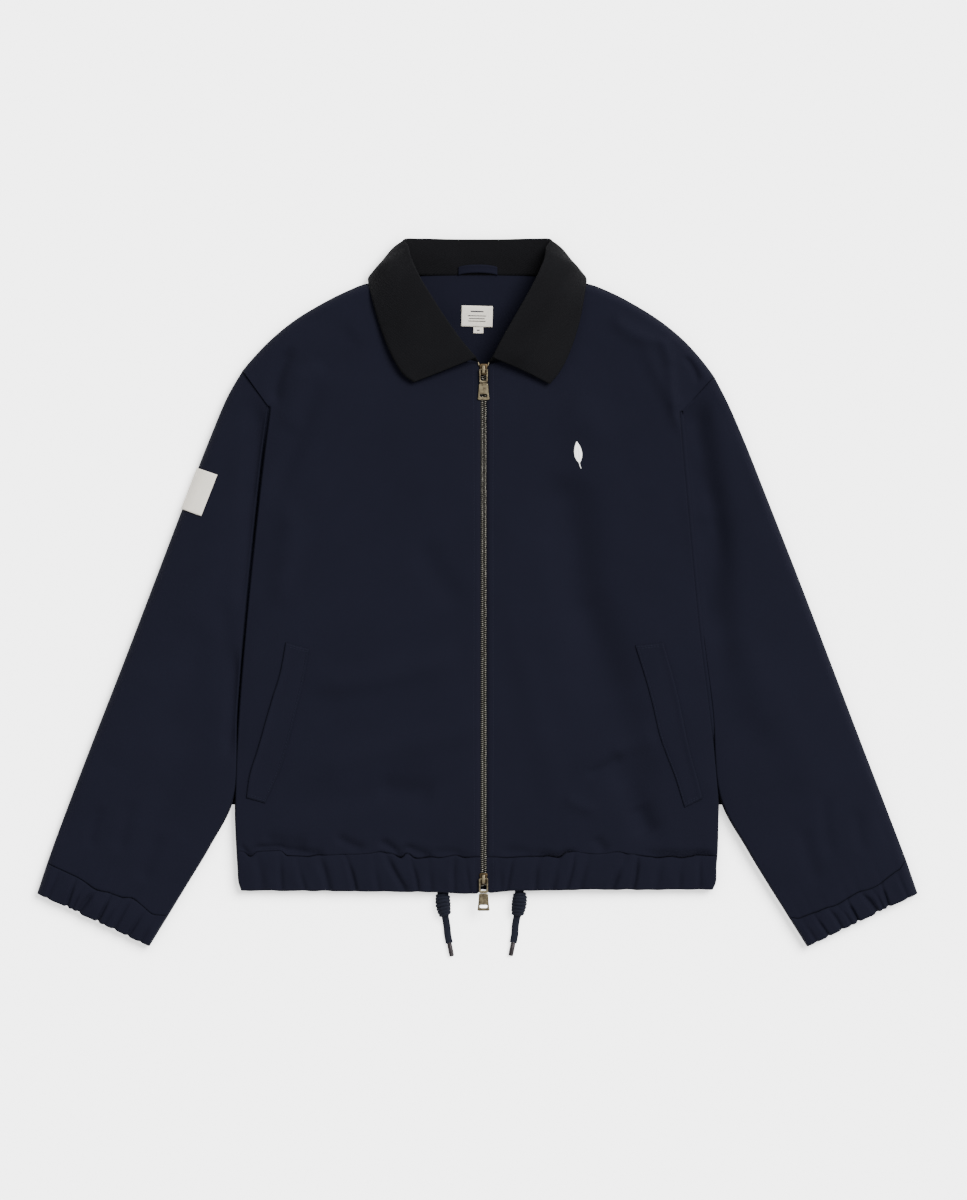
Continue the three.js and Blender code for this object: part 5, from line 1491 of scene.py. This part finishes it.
def roundedOutline(rows, count=96):
    # closed outline through (x, y) rows of its right half, from the top middle to the bottom middle
    return mirrored(alongLine(smoothLine(rows, 60), np.linspace(0, 1, count // 2 + 1)))


def makePull(place, s):
    joint = next(j for j in frame["record"]["behaviour"]["joints"] if j["child"] == f"pull_{place}")
    hinge = (np.array(joint["pos_m"]) - originShift) / mm
    tilt = math.radians(s["sliders"][place]["tilt"])
    c, k = math.cos(tilt), math.sin(tilt)
    grow = s["sliders"][place]["grow"]
    pieces = []
    for q in (s["frame"], s["tab"]):
        top, foot, wTop, wFoot = q["top"], q["foot"], q["halfTop"], q["halfFoot"]
        down = (0.12, 0.3, 0.5, 0.7, 0.86)
        waist = [(wTop + (wFoot - wTop) * t ** 1.5, top + (foot - top) * t) for t in down]
        outer = roundedOutline([
            (0, top), (wTop * 0.55, top), (wTop * 0.86, top - 0.3), (wTop, top - 1.1), *waist,
            (wFoot, foot + 1.4), (wFoot - 0.45, foot + 0.5), (wFoot - 1.6, foot), (wFoot * 0.4, foot),
            (0, foot),
        ])
        high, low, w = q["window"]
        r = 0.7
        inner = roundedOutline([
            (0, high), (w - r, high), (w - 0.2, high - 0.2), (w, high - r), (w, (high + low) / 2),
            (w, low + r * 1.6), (w - 0.3, low + 0.5), (w - r * 1.6, low), (0, low),
        ])
        rings = loopFrame(outer, inner, q["thick"]) * [grow, grow, 1] + [0, 0, q["lift"]]
        x, y, z = np.moveaxis(rings, -1, 0)
        flat = (pointsFrom(x, y * c - z * k, y * k + z * c) + hinge).reshape(-1, 3)
        quads = facingOut(flat, gridQuads(len(x) + 1, x.shape[1], True) % x.size)
        pieces.append(makeMesh(f"pull_{place}_{len(pieces)}", flat, quads, flat[:, :2] * mm))
    bpy.ops.object.select_all(action="DESELECT")
    for piece in pieces:
        piece.select_set(True)
    body = pieces[0]
    bpy.context.view_layer.objects.active = body
    bpy.ops.object.join()
    body.name = body.data.name = f"pull_{place}_metal"
    finishPiece(body, antiqueBrass, body=f"pull_{place}", replaces=(f"pull_{place}",))


for place in pullSetup["sliders"]:
    makeSlider(place, pullSetup)
    makePull(place, pullSetup)
print("sliders and pulls made")


# Labels and hanger loop

labelSetup = {
    "neck": {"x": -7.5, "y": 660, "width": 36, "height": 24, "turn": -1.5},
    "neckBars": [(0, 5.5, 15, 1.4), (0, 0.5, 21, 0.9), (0, -2.6, 18, 0.9), (0, -5.6, 20, 0.9)],
    "tab": {"x": -6, "y": 644, "width": 11.5, "height": 7, "turn": 0},
    "tabBars": [(0, 0, 3.2, 1.3)],  # x, y, width, height
    "sleeve": {"from": 2.455, "to": 3.086, "width": 24, "cut": (0.046, 0.042)},
    "loop": {"left": -29, "right": 16, "y": 714.5, "z": 7.25, "width": 9.5, "rise": 3, "cut": (0.05, 0.0105)},
}


def turnedPlan(q, dx, dy):
    # plan of a patch's own x and y, turned and moved to its place
    c, s = math.cos(math.radians(q["turn"])), math.sin(math.radians(q["turn"]))
    return q["x"] + dx * c - dy * s, q["y"] + dx * s + dy * c


def makeBackLabel(name, q, bars):
    def flatPatch(place, width, height, cols, rows, rise, thickness):
        u, v = np.meshgrid(np.linspace(-0.5, 0.5, cols), np.linspace(0.5, -0.5, rows))
        x, y = turnedPlan(q, place[0] + u * width, place[1] + v * height)
        edge = np.minimum((0.5 - np.abs(u)) * width, (0.5 - np.abs(v)) * height)
        outer = pointsFrom(x, y, bodyUnder(x, y) + 2.5 + rise(edge) + 0.25 * softNoise(x, y, 12, 71))
        return outer, outer - [0, 0, thickness]

    def clothRise(edge):
        return 0.8 * (0.55 + 0.45 * quarterRound(edge, 0.8))

    cloth = shellBetween(f"{name}_cloth", *flatPatch((0, 0), q["width"], q["height"], 30, 22, clothRise, 0.6))
    made = [finishPiece(cloth, labelCloth, replaces=(name,))]
    for n, (x, y, width, height) in enumerate(bars):
        bar = shellBetween(f"{name}_bar_{n}", *flatPatch((x, y), width, height, 12, 5, lambda d: 0.92, 0.3))
        made.append(finishPiece(bar, printInk))
    return made


def makeSleeveLabel(q):
    half = outline["right"]
    table = half["rows"]
    place = np.linspace(q["from"], q["to"], 34)
    rows = np.stack([table[int(p)] + (table[int(p) + 1] - table[int(p)]) * (p % 1) for p in place])
    start, across = rows[:, None, :2], unit(rows[:, 2:] - rows[:, :2])[:, None]

    # over the top to the sleeve's outer fold, and a little way round underneath
    over = crowdEnd(26, 1.6)[::-1] * q["width"]
    x, y = np.moveaxis(start + across * over[:, None], -1, 0)
    lift = creaseRise(x, y, sleeveSetup["creases"]["right"]) + clothWaver(x + 37, y - 11, 1.6)
    top = pointsFrom(x, y, sleeveUpper(half, x, y) + np.maximum(lift, 0) * quarterRound(over, 14))
    x, y = np.moveaxis(start + across * np.array([0.5, 1.2, 2.2])[:, None], -1, 0)
    grid = np.concatenate([top, pointsFrom(x, y, sleeveUnder(half, x, y))], axis=1)
    normals = gridNormals(grid)
    normals = normals * np.sign(normals[:, 0, 2].mean())
    piece = shellBetween("sleeve_label_cloth", grid + normals * 1.5, grid + normals * 0.8)
    finishPiece(piece, labelCloth, replaces=("sleeve_label",))


def makeLoop(q):
    t = np.linspace(0, 1, 70)[:, None]
    arch = np.sin(np.pi * t)
    s = np.linspace(0, 1, 15)
    edge = np.minimum(s, 1 - s) * q["width"]
    lift = 0.35 * quarterRound(edge, 1.2) + 0.25 * bump(edge, 1.6, 0.9)
    x = q["left"] + (q["right"] - q["left"]) * t
    y = q["y"] - 3.2 * (1 - arch**0.5) + (s - 0.5) * q["width"]
    outer = pointsFrom(x, y, q["z"] + q["rise"] * arch**0.7 + 1.2 * s + lift)
    piece = shellBetween("hanger_loop_canvas", outer, outer - pointsFrom(0, 0, 1.0 + lift))
    finishPiece(piece, canvasCloth, replaces=("hanger_loop",))


neckPieces = makeBackLabel("neck_label", labelSetup["neck"], labelSetup["neckBars"])
neckPieces += makeBackLabel("size_tab", labelSetup["tab"], labelSetup["tabBars"])
makeSleeveLabel(labelSetup["sleeve"])
makeLoop(labelSetup["loop"])
print("labels and hanger loop sewn in")


# Small embroidered leaf on the left chest

leafSetup = {"x": 108.4, "y": 503, "length": 25, "width": 9, "turn": 97, "stem": 7, "threadPitch": 0.75}


def makeLeaf(s):
    # satin stitch: threads fan out from the midrib at a slant, each thread a raised ridge
    half = outline["left"]
    along, across = np.meshgrid(np.linspace(-0.5, 0.5, 110), np.linspace(-1, 1, 31))
    width = s["width"] / 2 * np.sin(np.pi * np.clip(along + 0.5, 0, 1)) ** 0.75 * (1 - 0.35 * along)
    a, b = along * s["length"], across * np.maximum(width, 0.05)
    x, y = turnedPlan(s, a, b)
    thread = 0.07 * np.cos(2 * np.pi * (a - 0.9 * np.abs(b)) / s["threadPitch"])
    body = 0.55 * np.sqrt(np.maximum(1 - np.abs(across) ** 2.4, 0)) - 0.4 * bump(b, 0, 0.42)
    base = frontTop(half, x, y)
    outer = pointsFrom(x, y, base + np.maximum(0.08 + body + thread, 0.06))
    leaf = shellBetween("leaf_embroidery", outer, pointsFrom(x, y, base - 0.15))
    finishPiece(leaf, whiteThread)
    t = np.linspace(0, 1, 30)
    x, y = turnedPlan(s, -(s["length"] / 2 - 1 + s["stem"] * t), 0 * t)
    x = x + 1.2 * t * t
    stalk = tubeAlong("leaf_stalk", pointsFrom(x, y, frontTop(half, x, y) + 0.2), 0.55 - 0.2 * t, 10)
    finishPiece(stalk, whiteThread)


makeLeaf(leafSetup)
print("leaf embroidered")
